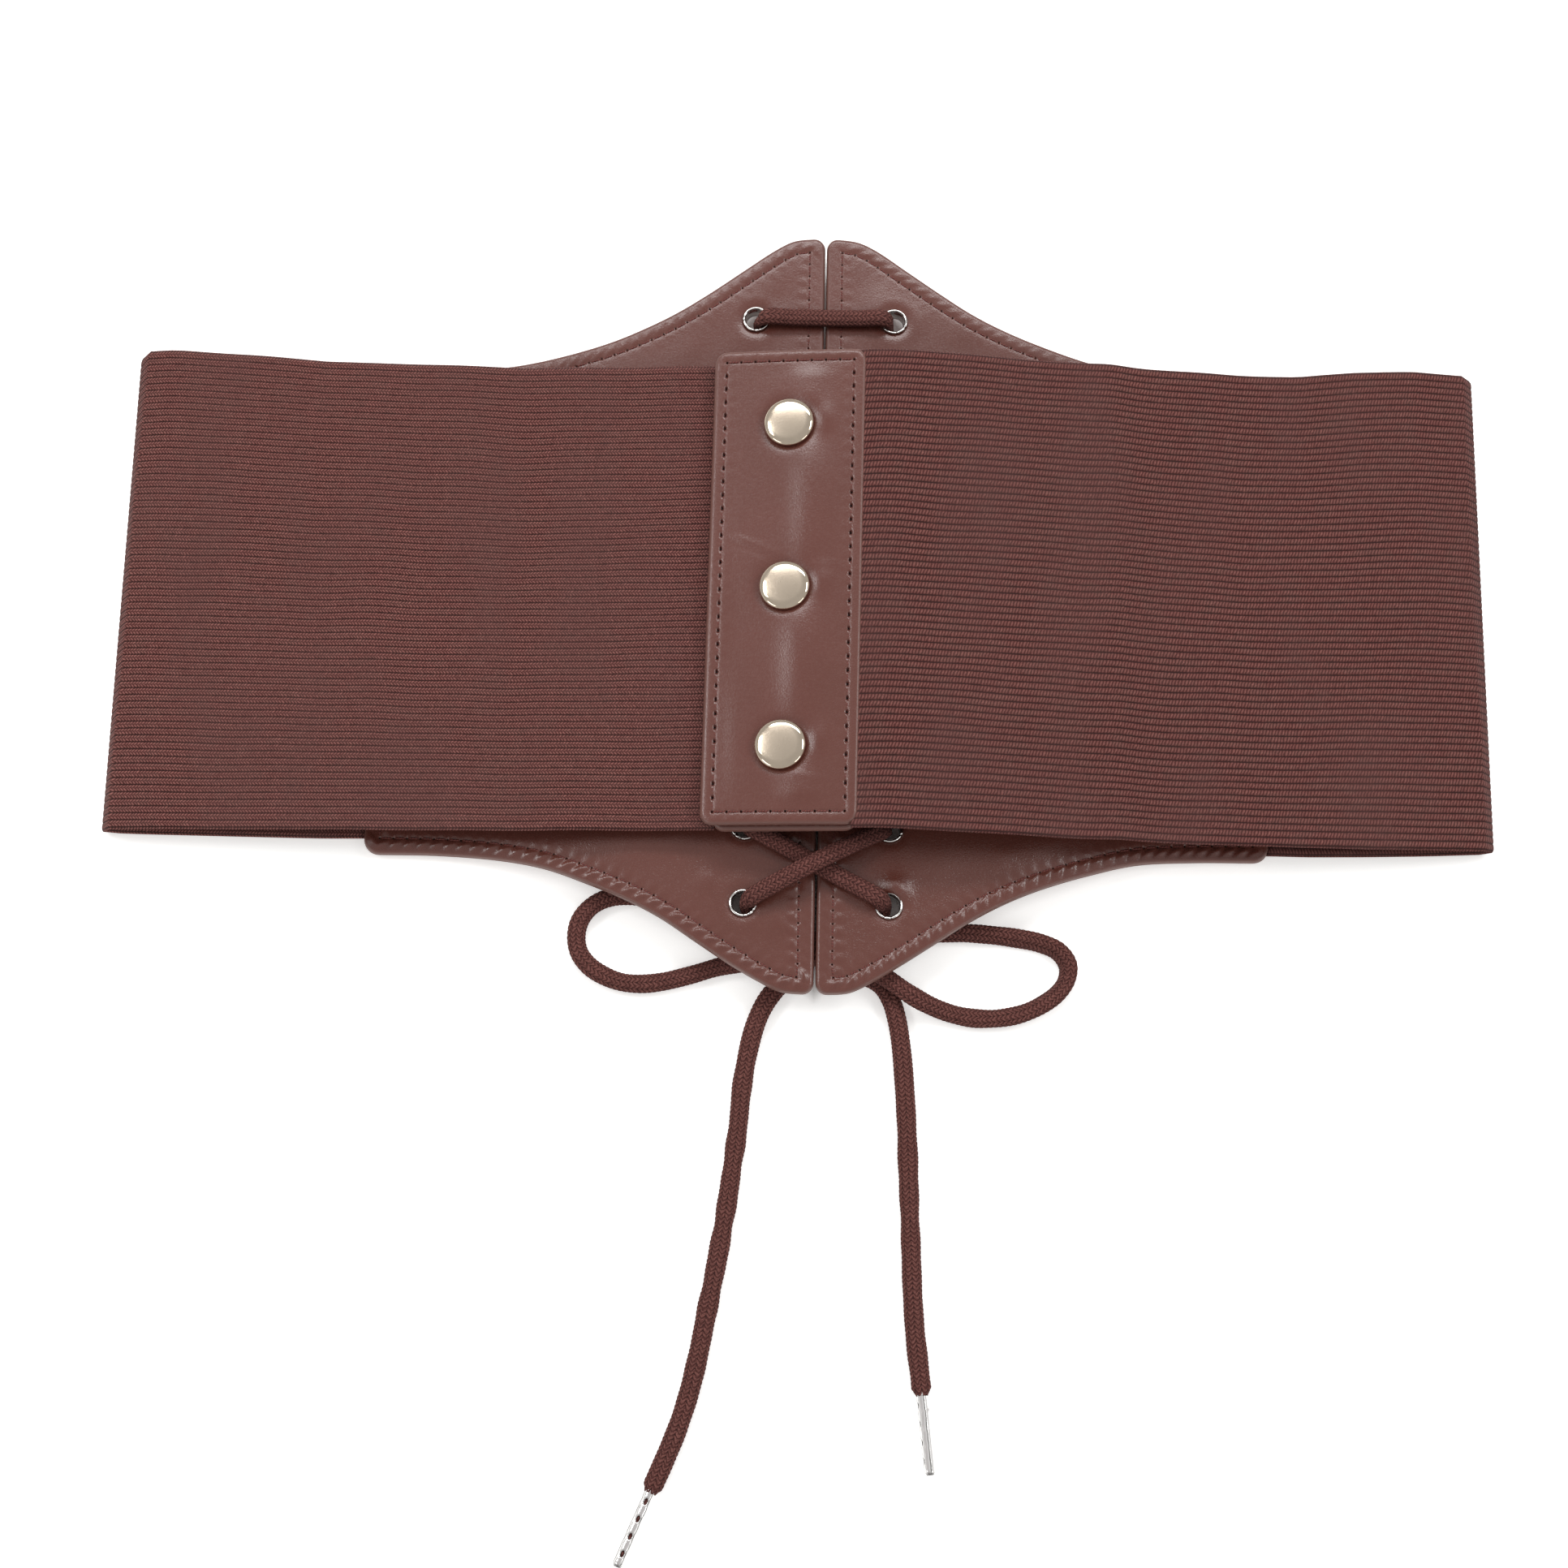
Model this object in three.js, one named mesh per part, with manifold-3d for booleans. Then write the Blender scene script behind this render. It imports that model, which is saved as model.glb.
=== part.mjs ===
// A lace-up waist belt lying flat: a loop of ribbed elastic, folded in two.
// The two curved leather panels of its front lie lowest, with their outer face down, and are laced
// together through eyelets; the lace is tied in a bow under them. The back of the loop lies on top,
// closed by three snap fasteners on a leather placket.
// Millimetres. +X runs along the waist, +Y towards the upper edge, +Z up from the surface.
import * as THREE from "three";
import { mergeVertices } from "three/addons/utils/BufferGeometryUtils.js";
import Module from "manifold-3d";

const wasm = await Module();
wasm.setup();

// Driving dimensions. x is measured from the gap between the panels, y from the panels' mid height.
const FLAT_LENGTH = 330.6; // from fold to fold
const LEFT_FOLD = -169.9; // the loop is laid a little to the left of the gap
const RIGHT_FOLD = LEFT_FOLD + FLAT_LENGTH;

const BAND = { width: 120, middle: 1.9, thickness: 1.4, foldRadius: 1.75 };
const BAND_LOW = BAND.thickness / 2; // mid height of the layer that lies on the surface

// Where the layer that lies on top strays from the straight band: x, and the shift of its upper
// and of its lower edge. Stretched elastic is narrower, so it strays most beside the placket.
const BAND_EDGES = [
  [-170, 1.4, 0.4],
  [-160, 1.3, 0.2],
  [-143, -0.3, 0.1],
  [-122, -2.4, 0],
  [-98, -3.5, 0],
  [-72, -4.3, 0.1],
  [-25, -4.1, 0.4],
  [10, -2.4, -0.2],
  [56, -2.1, -0.2],
  [100, -2.8, -0.2],
  [116, -2.4, 0],
  [130, -0.4, 0.3],
  [145, 1.1, 0.8],
  [161, 1.4, 1.6],
];

const PANEL = { gap: 0.8, width: 106.6, thickness: 2.8, peak: 95.2, peakRadius: 3.2 };
// Edges of a panel: distance from the gap, and how far the upper and the lower edge are from the
// middle. The two panels lie a little differently.
const PANEL_EDGES = {
  left: [
    [8, 94.5, 94.7],
    [13, 91.7, 92.4],
    [20, 86.5, 88.4],
    [28, 80.5, 83.2],
    [36, 75.1, 77.9],
    [44, 70.8, 73.7],
    [53, 67.0, 69.9],
    [64, 63.9, 65.9],
    [76, 61.7, 63.6],
    [90, 60.7, 62.5],
    [103.4, 60.5, 62.4],
  ],
  right: [
    [8, 94.5, 94.7],
    [13, 92.0, 92.3],
    [20, 87.0, 88.0],
    [28, 81.3, 82.7],
    [36, 76.0, 77.4],
    [44, 71.9, 72.9],
    [53, 68.4, 68.9],
    [64, 65.1, 65.1],
    [76, 62.7, 61.9],
    [90, 61.6, 60.7],
    [103.4, 61.4, 60.4],
  ],
};
// A panel is lifted by the lace beside the gap and comes down to the surface at its outer end.
const PANEL_LIFT = { high: 6.6, low: 0.1, flatTo: 24, easing: 38 };

const EYELET = { fromGap: 17, top: 73, pitch: 18.4, rows: 9, hole: 2.4, wall: 0.35 };
const RING = { radius: 3.3, height: 0.7 }; // the rolled side, towards the body
const FLANGE = { radius: 4.7, height: 0.7 }; // the broad side, on the outer face

const LACE = { width: 4.3, thickness: 2.9, sides: 8 };
const AGLET = { length: 18, mouth: 1.35, tip: 1.05 };
const KNOT = { x: 0, y: -83.5, z: 3.1, length: 9.4, width: 8.6, height: 5.9 };

const STRIP = { width: 36, height: 118, thickness: 2.6, corner: 3 };
const UNDER_STRIP = { width: 34, shiftX: 0.8, shiftY: -0.8 };
// The placket leans: the layers under its right side are thicker.
const PLACKET = { x: -8.65, y: 1.25, z: 20.9, lean: 8, turn: 0.45 };
const SNAP = { cap: 6, rise: 1.8, post: 1.9, hole: 2.2, flange: 4.5, flangeHeight: 0.7 };
const SNAP_PLACES = [39.8, -1.4, -40.3]; // along the placket, from its middle
const CLEARANCE = 0.3; // between pieces that touch

const FINISH = {
  elastic: { color: 0x5a3835, roughness: 0.9, metalness: 0 },
  leather: { color: 0x6f4b45, roughness: 0.5, metalness: 0 },
  lace: { color: 0x4a2a28, roughness: 0.85, metalness: 0 },
  nickel: { color: 0xd9d5cc, roughness: 0.28, metalness: 1 },
};

const belt = new THREE.Group();

function addMesh(parent, name, geometry, finish) {
  const mesh = new THREE.Mesh(geometry, new THREE.MeshStandardMaterial(FINISH[finish]));
  mesh.name = name;
  parent.add(mesh);
  return mesh;
}

// Solids for cutting and joining.
function toSolid(geometry) {
  const bare = geometry.index ? geometry.toNonIndexed() : geometry.clone();
  bare.deleteAttribute("normal");
  bare.deleteAttribute("uv");
  const merged = mergeVertices(bare, 1e-4);
  return new wasm.Manifold(
    new wasm.Mesh({
      numProp: 3,
      vertProperties: merged.attributes.position.array,
      triVerts: new Uint32Array(merged.index.array),
    }),
  );
}

function toGeometry(solid) {
  const { vertProperties, triVerts } = solid.getMesh();
  const geometry = new THREE.BufferGeometry();
  geometry.setAttribute("position", new THREE.BufferAttribute(vertProperties, 3));
  geometry.setIndex(new THREE.BufferAttribute(triVerts, 1));
  geometry.computeVertexNormals();
  return geometry;
}

// A turned piece on the Z axis, from its half section of [radius, height] pairs.
function turned(profile, segments) {
  const points = profile.map(([radius, height]) => new THREE.Vector2(radius, height));
  return new THREE.LatheGeometry(points, segments).rotateX(Math.PI / 2);
}

function drill(radius, bottom, top, x, y) {
  const cutter = new THREE.CylinderGeometry(radius, radius, top - bottom, 14);
  return toSolid(cutter.rotateX(Math.PI / 2).translate(x, y, (bottom + top) / 2));
}

// A sheet whose section, in X and Z, follows a mid line, and which runs from one y to another.
function sheetAlong(midLine, thickness, fromY, toY, divisions) {
  const middle = midLine.getPoints(divisions);
  const over = [];
  const under = [];
  middle.forEach((point, i) => {
    const before = middle[Math.max(i - 1, 0)];
    const after = middle[Math.min(i + 1, middle.length - 1)];
    const along = after.clone().sub(before).normalize();
    const across = new THREE.Vector2(-along.y, along.x).multiplyScalar(thickness / 2);
    over.push(point.clone().add(across));
    under.push(point.clone().sub(across));
  });
  const section = new THREE.Shape([...over, ...under.reverse()]);
  const sheet = new THREE.ExtrudeGeometry(section, { depth: toY - fromY, bevelEnabled: false });
  return sheet.rotateX(Math.PI / 2).translate(0, toY, 0);
}

// A leather panel. Both are made to the right of the gap, and the left one is then mirrored.
function panelOutline(edges) {
  const inner = PANEL.gap / 2;
  const outer = inner + PANEL.width;
  const upper = edges.map(([x, high]) => new THREE.Vector2(x, high));
  const lower = edges.map(([x, high, low]) => new THREE.Vector2(x, -low)).reverse();
  const peakX = inner + PANEL.peakRadius;
  const peakY = PANEL.peak - PANEL.peakRadius;
  const [endX, endHigh, endLow] = edges.at(-1);
  const endRadius = outer - endX;
  const outline = new THREE.Shape();
  outline.moveTo(inner, -peakY);
  outline.lineTo(inner, peakY);
  outline.absarc(peakX, peakY, PANEL.peakRadius, Math.PI, Math.PI / 2, true);
  outline.splineThru(upper);
  outline.absarc(endX, endHigh - endRadius, endRadius, Math.PI / 2, 0, true);
  outline.lineTo(outer, endRadius - endLow);
  outline.absarc(endX, endRadius - endLow, endRadius, 0, -Math.PI / 2, true);
  outline.splineThru([...lower.slice(1), new THREE.Vector2(peakX, -PANEL.peak)]);
  outline.absarc(peakX, -peakY, PANEL.peakRadius, -Math.PI / 2, -Math.PI, true);
  return outline;
}

function panelGeometry(edges) {
  const { high, low, flatTo, easing } = PANEL_LIFT;
  const half = PANEL.thickness / 2;
  const end = PANEL.gap / 2 + PANEL.width;
  const midLine = new THREE.Path();
  midLine.moveTo(-2, high + half);
  midLine.lineTo(flatTo, high + half);
  midLine.bezierCurveTo(flatTo + easing, high + half, end - easing, low + half, end, low + half);
  midLine.lineTo(end + 5, low + half);
  const reach = PANEL.peak + 5;
  const sheet = toSolid(sheetAlong(midLine, PANEL.thickness, -reach, reach, 8));
  const block = new THREE.ExtrudeGeometry(panelOutline(edges), {
    depth: 20,
    bevelEnabled: false,
    curveSegments: 2,
  });
  let panel = toSolid(block.translate(0, 0, -5)).intersect(sheet);
  const holeRadius = EYELET.hole + EYELET.wall + CLEARANCE;
  for (const y of eyeletRows()) {
    panel = panel.subtract(drill(holeRadius, 0, 20, EYELET.fromGap, y));
  }
  return toGeometry(panel);
}

function eyeletRows() {
  return Array.from({ length: EYELET.rows }, (_, row) => EYELET.top - row * EYELET.pitch);
}

// An eyelet's barrel, with its rolled ring above the panel and its broad flange below it.
function eyeletGeometry() {
  const under = PANEL_LIFT.high - CLEARANCE;
  const over = PANEL_LIFT.high + PANEL.thickness + CLEARANCE;
  const barrel = EYELET.hole + EYELET.wall;
  return turned(
    [
      [EYELET.hole, under - FLANGE.height + 0.2],
      [EYELET.hole + 0.2, under - FLANGE.height],
      [FLANGE.radius, under - FLANGE.height + 0.1],
      [FLANGE.radius, under],
      [barrel, under],
      [barrel, over],
      [RING.radius, over],
      [RING.radius - 0.2, over + RING.height - 0.3],
      [EYELET.hole, over + RING.height - 0.3],
      [EYELET.hole, under - FLANGE.height + 0.2],
    ],
    12,
  );
}

// Elastic: from the panel's outer end along the surface, round the fold and back over to the placket.
function leftBandLine() {
  const fold = LEFT_FOLD + BAND.thickness / 2 + BAND.foldRadius;
  const line = new THREE.Path();
  line.moveTo(-(PANEL.gap / 2 + PANEL.width + CLEARANCE), PANEL_LIFT.low + PANEL.thickness / 2);
  line.bezierCurveTo(-110.5, 1.4, -114, BAND_LOW, -119, BAND_LOW);
  line.lineTo(fold, BAND_LOW);
  line.absarc(fold, BAND_LOW + BAND.foldRadius, BAND.foldRadius, -Math.PI / 2, -1.45 * Math.PI, true);
  line.bezierCurveTo(-161, 5.3, -152, 6.6, -140, 7.7);
  line.bezierCurveTo(-115, 9.9, -95, 10.3, -72, 11.5);
  line.bezierCurveTo(-54, 12.4, -36, 12.8, -25.1, 14.3);
  return line;
}

function rightBandLine() {
  const fold = RIGHT_FOLD - BAND.thickness / 2 - BAND.foldRadius;
  const line = new THREE.Path();
  line.moveTo(PANEL.gap / 2 + PANEL.width + CLEARANCE, PANEL_LIFT.low + PANEL.thickness / 2);
  line.bezierCurveTo(110.5, 1.4, 114, BAND_LOW, 119, BAND_LOW);
  line.lineTo(fold, BAND_LOW);
  line.absarc(fold, BAND_LOW + BAND.foldRadius, BAND.foldRadius, -Math.PI / 2, 0.45 * Math.PI, false);
  line.bezierCurveTo(152, 5.5, 145, 7.0, 134, 8.2);
  line.bezierCurveTo(112, 10.6, 84, 12.4, 60, 15.8);
  line.bezierCurveTo(40, 18.6, 21, 23.7, 10.3, 22.2);
  return line;
}

function bandShift(x, column) {
  const next = Math.max(1, BAND_EDGES.findIndex((row) => row[0] >= x));
  const [before, after] = BAND_EDGES.slice(next - 1, next + 1);
  const share = THREE.MathUtils.clamp((x - before[0]) / (after[0] - before[0]), 0, 1);
  return THREE.MathUtils.lerp(before[column], after[column], share);
}

// Shifts the edges of a straight band to where they lie. The upper edge of the layer that lies on
// the surface stays straight.
function shiftEdges(geometry) {
  const position = geometry.attributes.position;
  for (let i = 0; i < position.count; i++) {
    const onTop = THREE.MathUtils.smoothstep(position.getZ(i), BAND_LOW, 2 * BAND.foldRadius);
    const isUpperEdge = position.getY(i) > BAND.middle;
    const shift = bandShift(position.getX(i), isUpperEdge ? 1 : 2);
    position.setY(i, position.getY(i) + shift * (isUpperEdge ? onTop : 1));
  }
  return geometry;
}

function addBand() {
  const low = BAND.middle - BAND.width / 2;
  const high = BAND.middle + BAND.width / 2;
  const lines = { elastic_left: leftBandLine(), elastic_right: rightBandLine() };
  for (const [name, line] of Object.entries(lines)) {
    const sheet = sheetAlong(line, BAND.thickness, low, high, 6);
    addMesh(belt, name, shiftEdges(sheet), "elastic");
  }
}

function addPanels() {
  const rows = eyeletRows();
  for (const [side, sign] of [["left", -1], ["right", 1]]) {
    addMesh(belt, `panel_${side}`, panelGeometry(PANEL_EDGES[side]), "leather").scale.x = sign;
    rows.forEach((y, row) => {
      const eyelet = addMesh(belt, `eyelet_${side}_${row + 1}`, eyeletGeometry(), "nickel");
      eyelet.position.set(sign * EYELET.fromGap, y, 0);
    });
  }
}

// Placket: two leather strips, one on each end of the elastic, held together by the snaps.
function roundedRectangle(width, height, radius) {
  const x = width / 2;
  const y = height / 2;
  const shape = new THREE.Shape();
  shape.moveTo(x, -y + radius);
  shape.absarc(x - radius, y - radius, radius, 0, Math.PI / 2, false);
  shape.absarc(-x + radius, y - radius, radius, Math.PI / 2, Math.PI, false);
  shape.absarc(-x + radius, -y + radius, radius, Math.PI, 1.5 * Math.PI, false);
  shape.absarc(x - radius, -y + radius, radius, 1.5 * Math.PI, 2 * Math.PI, false);
  return shape;
}

function stripGeometry(width, shiftX, shiftY, top, recess) {
  const outline = roundedRectangle(width, STRIP.height, STRIP.corner);
  const bottom = top - STRIP.thickness;
  const block = new THREE.ExtrudeGeometry(outline, {
    depth: STRIP.thickness,
    bevelEnabled: false,
    curveSegments: 2,
  });
  let strip = toSolid(block.translate(shiftX, shiftY, bottom));
  for (const y of SNAP_PLACES) {
    strip = strip.subtract(drill(SNAP.hole, bottom - 1, top + 1, 0, y));
    if (recess > 0) {
      strip = strip.subtract(drill(SNAP.flange + CLEARANCE, bottom - 1, bottom + recess, 0, y));
    }
  }
  return toGeometry(strip);
}

function addPlacket() {
  const placket = new THREE.Group();
  placket.position.set(PLACKET.x, PLACKET.y, PLACKET.z);
  placket.rotation.set(
    0,
    THREE.MathUtils.degToRad(-PLACKET.lean),
    THREE.MathUtils.degToRad(-PLACKET.turn),
  );
  belt.add(placket);

  const underTop = -STRIP.thickness - CLEARANCE;
  const underBottom = underTop - STRIP.thickness;
  const recess = SNAP.flangeHeight + CLEARANCE + 0.1;
  addMesh(placket, "placket_top", stripGeometry(STRIP.width, 0, 0, 0, 0), "leather");
  const under = stripGeometry(
    UNDER_STRIP.width, UNDER_STRIP.shiftX, UNDER_STRIP.shiftY, underTop, recess,
  );
  addMesh(placket, "placket_under", under, "leather");

  const flangeBottom = underBottom + 0.1;
  const meeting = flangeBottom + SNAP.flangeHeight + 0.8;
  const rim = CLEARANCE;
  SNAP_PLACES.forEach((y, i) => {
    const cap = turned(
      [
        [0, meeting + CLEARANCE],
        [SNAP.post, meeting + CLEARANCE],
        [SNAP.post, rim],
        [SNAP.cap - 0.3, rim],
        [SNAP.cap, rim + 0.35],
        [SNAP.cap - 0.15, rim + 0.8],
        [SNAP.cap - 0.8, rim + 1.3],
        [SNAP.cap - 2.4, rim + SNAP.rise - 0.15],
        [0, rim + SNAP.rise],
      ],
      16,
    );
    const back = turned(
      [
        [0, flangeBottom],
        [SNAP.flange, flangeBottom],
        [SNAP.flange, flangeBottom + SNAP.flangeHeight],
        [SNAP.post, flangeBottom + SNAP.flangeHeight],
        [SNAP.post, meeting],
        [0, meeting],
      ],
      12,
    );
    addMesh(placket, `snap_cap_${i + 1}`, cap, "nickel").position.y = y;
    addMesh(placket, `snap_back_${i + 1}`, back, "nickel").position.y = y;
  });
}

// A flat lace's route. Its sections lie at the route's own points, with their broad side level,
// and where the lace stands upright in an eyelet they keep the direction that they had before it.
class LaceRoute extends THREE.CatmullRomCurve3 {
  constructor(points) {
    super(points, false, "catmullrom");
  }

  getUtoTmapping(u) {
    return u;
  }

  computeFrenetFrames(segments) {
    const up = new THREE.Vector3(0, 0, 1);
    const tangents = [];
    const normals = [];
    const binormals = [];
    let broad = null;
    for (let i = 0; i <= segments; i++) {
      const tangent = this.getTangentAt(i / segments);
      const level = new THREE.Vector3().crossVectors(up, tangent);
      if (broad && level.length() < 0.35) {
        level.copy(broad).addScaledVector(tangent, -broad.dot(tangent));
      } else if (broad && level.dot(broad) < 0) {
        level.negate();
      }
      broad = level.normalize();
      tangents.push(tangent);
      normals.push(broad.clone());
      binormals.push(new THREE.Vector3().crossVectors(tangent, broad));
    }
    return { tangents, normals, binormals };
  }
}

function laceGeometry(points) {
  const route = new LaceRoute(points.map(([x, y, z]) => new THREE.Vector3(x, y, z)));
  const oval = new THREE.EllipseCurve(0, 0, LACE.width / 2, LACE.thickness / 2);
  const section = new THREE.Shape(oval.getPoints(LACE.sides).slice(1));
  return new THREE.ExtrudeGeometry(section, { steps: points.length - 1, extrudePath: route });
}

// The lace's heights: on the inner face above the panels, and on the outer face below them.
const INNER = { shoulder: 12.0, bend: 11.4, resting: 11.15, crossing: 14.35 };
const OUTER = { shoulder: 3.75, bend: 4.4, resting: 4.75, crossing: 1.6 };
// Distances from an eyelet's middle, towards the next eyelet.
const SHOULDER = 3.1;
const BEND = 1.0;
const CROSSING_HALF = 4.2; // half of the level stretch where two strands cross

function eyeletAt(row, side) {
  return new THREE.Vector2(side * EYELET.fromGap, EYELET.top - (row - 1) * EYELET.pitch);
}

// The order in which the lace runs through the eyelets: up to the top row and down again.
function laceStops() {
  const stops = [];
  for (let row = EYELET.rows; row >= 1; row--) {
    stops.push(eyeletAt(row, row % 2 ? -1 : 1));
  }
  for (let row = 1; row <= EYELET.rows; row++) {
    stops.push(eyeletAt(row, row % 2 ? 1 : -1));
  }
  return stops;
}

function lacePoints() {
  const stops = laceStops();
  const knot = new THREE.Vector2(KNOT.x, KNOT.y);
  const topBar = EYELET.rows - 1; // the span that follows this stop joins the two top eyelets
  const knotReach = 5.6;
  const points = [];
  const put = (from, towards, distance, z) => {
    const place = towards.clone().sub(from).setLength(distance).add(from);
    points.push([place.x, place.y, z]);
  };
  put(knot, stops[0], knotReach, 4.55);
  stops.forEach((eyelet, i) => {
    const before = stops[i - 1] ?? knot;
    const after = stops[i + 1] ?? knot;
    const inner = i % 2 ? INNER : OUTER;
    const outer = i % 2 ? OUTER : INNER;
    const centre = new THREE.Vector2(0, eyelet.y);
    put(eyelet, before, SHOULDER, inner.shoulder);
    put(eyelet, before, BEND, inner.bend);
    put(eyelet, centre, 0.15, i % 2 ? 9.6 : 6.5);
    put(eyelet, centre, 0.15, i % 2 ? 6.5 : 9.6);
    put(eyelet, after, BEND, outer.bend);
    put(eyelet, after, SHOULDER, outer.shoulder);
    if (i === stops.length - 1) return;
    const firstHalf = i < topBar;
    const middle = eyelet.clone().add(after).multiplyScalar(0.5);
    const z = firstHalf ? outer.crossing : outer.resting;
    put(middle, eyelet, i === topBar ? 9 : CROSSING_HALF, z);
    put(middle, after, i === topBar ? 9 : CROSSING_HALF, z);
  });
  put(knot, stops.at(-1), knotReach, 4.55);
  return points;
}

// Free ends of the lace, as it lies on the surface under the panels' lower points: x, y, z.
const LYING = LACE.thickness / 2 + 0.15;
const HUMP = LYING + LACE.thickness + 0.25;
const LOOP_LEFT = [
  [-5.1, -82.8, LYING],
  [-11, -81.8, LYING],
  [-17, -79.6, LYING],
  [-24, -76.0, LYING],
  [-31, -73.6, LYING],
  [-37, -72.2, LYING],
  [-43, -71.3, LYING],
  [-48.5, -71.8, LYING],
  [-52.7, -74.0, LYING],
  [-55.3, -77.5, LYING],
  [-56.0, -81.4, LYING],
  [-55.2, -85.1, LYING],
  [-52.7, -88.3, LYING],
  [-49.2, -90.5, LYING],
  [-45.3, -91.9, LYING],
  [-40.8, -92.3, LYING],
  [-35.5, -91.7, LYING],
  [-29.0, -90.0, LYING],
  [-22.0, -87.8, LYING],
  [-15.8, -86.9, LYING + 1.2],
  [-10.2, -85.9, HUMP - 0.4],
  [-5.0, -85.3, HUMP],
];
const LOOP_RIGHT = [
  [5.1, -82.9, LYING],
  [12, -81.7, LYING],
  [19, -80.2, LYING],
  [27, -79.1, LYING],
  [35, -78.7, LYING],
  [42, -79.1, LYING],
  [48, -79.8, LYING],
  [53, -80.8, LYING],
  [57.2, -82.7, LYING],
  [59.4, -86.0, LYING],
  [59.0, -89.6, LYING],
  [56.8, -92.8, LYING],
  [53.2, -95.5, LYING],
  [49.0, -97.5, LYING],
  [44.7, -98.6, LYING],
  [40.2, -99.0, LYING],
  [35.5, -98.7, LYING],
  [31.0, -97.7, LYING + 0.4],
  [26.5, -96.2, LYING + 1.9],
  [22.4, -94.2, HUMP],
  [18.4, -91.5, HUMP],
  [14.0, -88.6, HUMP],
  [9.6, -86.4, HUMP],
  [5.1, -84.8, HUMP],
];
const TAIL_LEFT = [
  [-2.5, -87.7, LYING],
  [-5.6, -90.0, LYING],
  [-8.8, -92.8, LYING],
  [-11.4, -96.4, LYING],
  [-13.6, -101.6, LYING],
  [-15.3, -109.0, LYING],
  [-16.4, -116.8, LYING],
  [-17.0, -125.0, LYING],
  [-18.0, -133.5, LYING],
  [-19.1, -142.6, LYING],
  [-20.4, -151.5, LYING],
  [-21.8, -160.0, LYING],
  [-23.3, -168.4, LYING],
  [-24.8, -177.0, LYING],
  [-26.8, -186.0, LYING],
  [-29.2, -193.8, LYING],
  [-31.9, -200.4, LYING],
  [-34.4, -206.5, LYING],
];
const TAIL_RIGHT = [
  [3.7, -87.5, LYING],
  [7.9, -88.4, LYING],
  [12.4, -89.7, LYING],
  [16.0, -91.8, LYING],
  [18.0, -95.0, LYING],
  [19.4, -99.5, LYING],
  [20.5, -106.2, LYING],
  [21.3, -115.0, LYING],
  [21.9, -124.5, LYING],
  [22.3, -134.0, LYING],
  [22.7, -143.5, LYING],
  [23.1, -153.0, LYING],
  [23.5, -162.5, LYING],
  [24.2, -172.0, LYING],
  [25.1, -180.0, LYING],
  [25.5, -184.4, LYING],
];

function knotGeometry() {
  const turns = 5;
  const profile = Array.from({ length: turns + 1 }, (_, i) => {
    const angle = -Math.PI / 2 + (i * Math.PI) / turns;
    return [Math.cos(angle), Math.sin(angle)];
  });
  profile[0][0] = 0;
  profile[turns][0] = 0;
  const knot = turned(profile, 12);
  return knot.scale(KNOT.length / 2, KNOT.width / 2, KNOT.height / 2);
}

// A crimped metal tip, in line with the last stretch of its tail.
function addAglet(name, tail) {
  const aglet = turned(
    [
      [0, 0],
      [AGLET.mouth - 0.15, 0],
      [AGLET.mouth, 0.4],
      [AGLET.mouth, AGLET.length * 0.55],
      [AGLET.tip, AGLET.length - 0.5],
      [AGLET.tip - 0.35, AGLET.length],
      [0, AGLET.length],
    ],
    10,
  );
  const [before, end] = tail.slice(-2).map(([x, y]) => new THREE.Vector3(x, y, AGLET.mouth + 0.1));
  const along = end.clone().sub(before).normalize();
  const mesh = addMesh(belt, name, aglet, "nickel");
  mesh.quaternion.setFromUnitVectors(new THREE.Vector3(0, 0, 1), along);
  mesh.position.copy(end).addScaledVector(along, CLEARANCE);
}

function addLace() {
  addMesh(belt, "lace_woven", laceGeometry(lacePoints()), "lace");
  addMesh(belt, "bow_knot", knotGeometry(), "lace").position.set(KNOT.x, KNOT.y, KNOT.z);
  addMesh(belt, "bow_loop_left", laceGeometry(LOOP_LEFT), "lace");
  addMesh(belt, "bow_loop_right", laceGeometry(LOOP_RIGHT), "lace");
  addMesh(belt, "tail_left", laceGeometry(TAIL_LEFT), "lace");
  addMesh(belt, "tail_right", laceGeometry(TAIL_RIGHT), "lace");
  addAglet("aglet_left", TAIL_LEFT);
  addAglet("aglet_right", TAIL_RIGHT);
}

addBand();
addPanels();
addPlacket();
addLace();

// The part's origin is on the surface, under the middle of the flat loop.
belt.position.x = -(LEFT_FOLD + RIGHT_FOLD) / 2;
const part = new THREE.Group();
part.add(belt);

export default part;
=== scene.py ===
"""A lace-up waist belt of ribbed elastic and leather, lying flat on a white table.

Shapes are worked out in millimetres, with x measured from the gap between the two leather panels,
and are turned into metres in the part's own frame when a piece is made.
"""

import math

import bpy
import numpy as np
from bpy.props import FloatProperty, FloatVectorProperty, IntProperty, PointerProperty
from mathutils import Matrix, Vector
from mathutils.geometry import delaunay_2d_cdt


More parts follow.
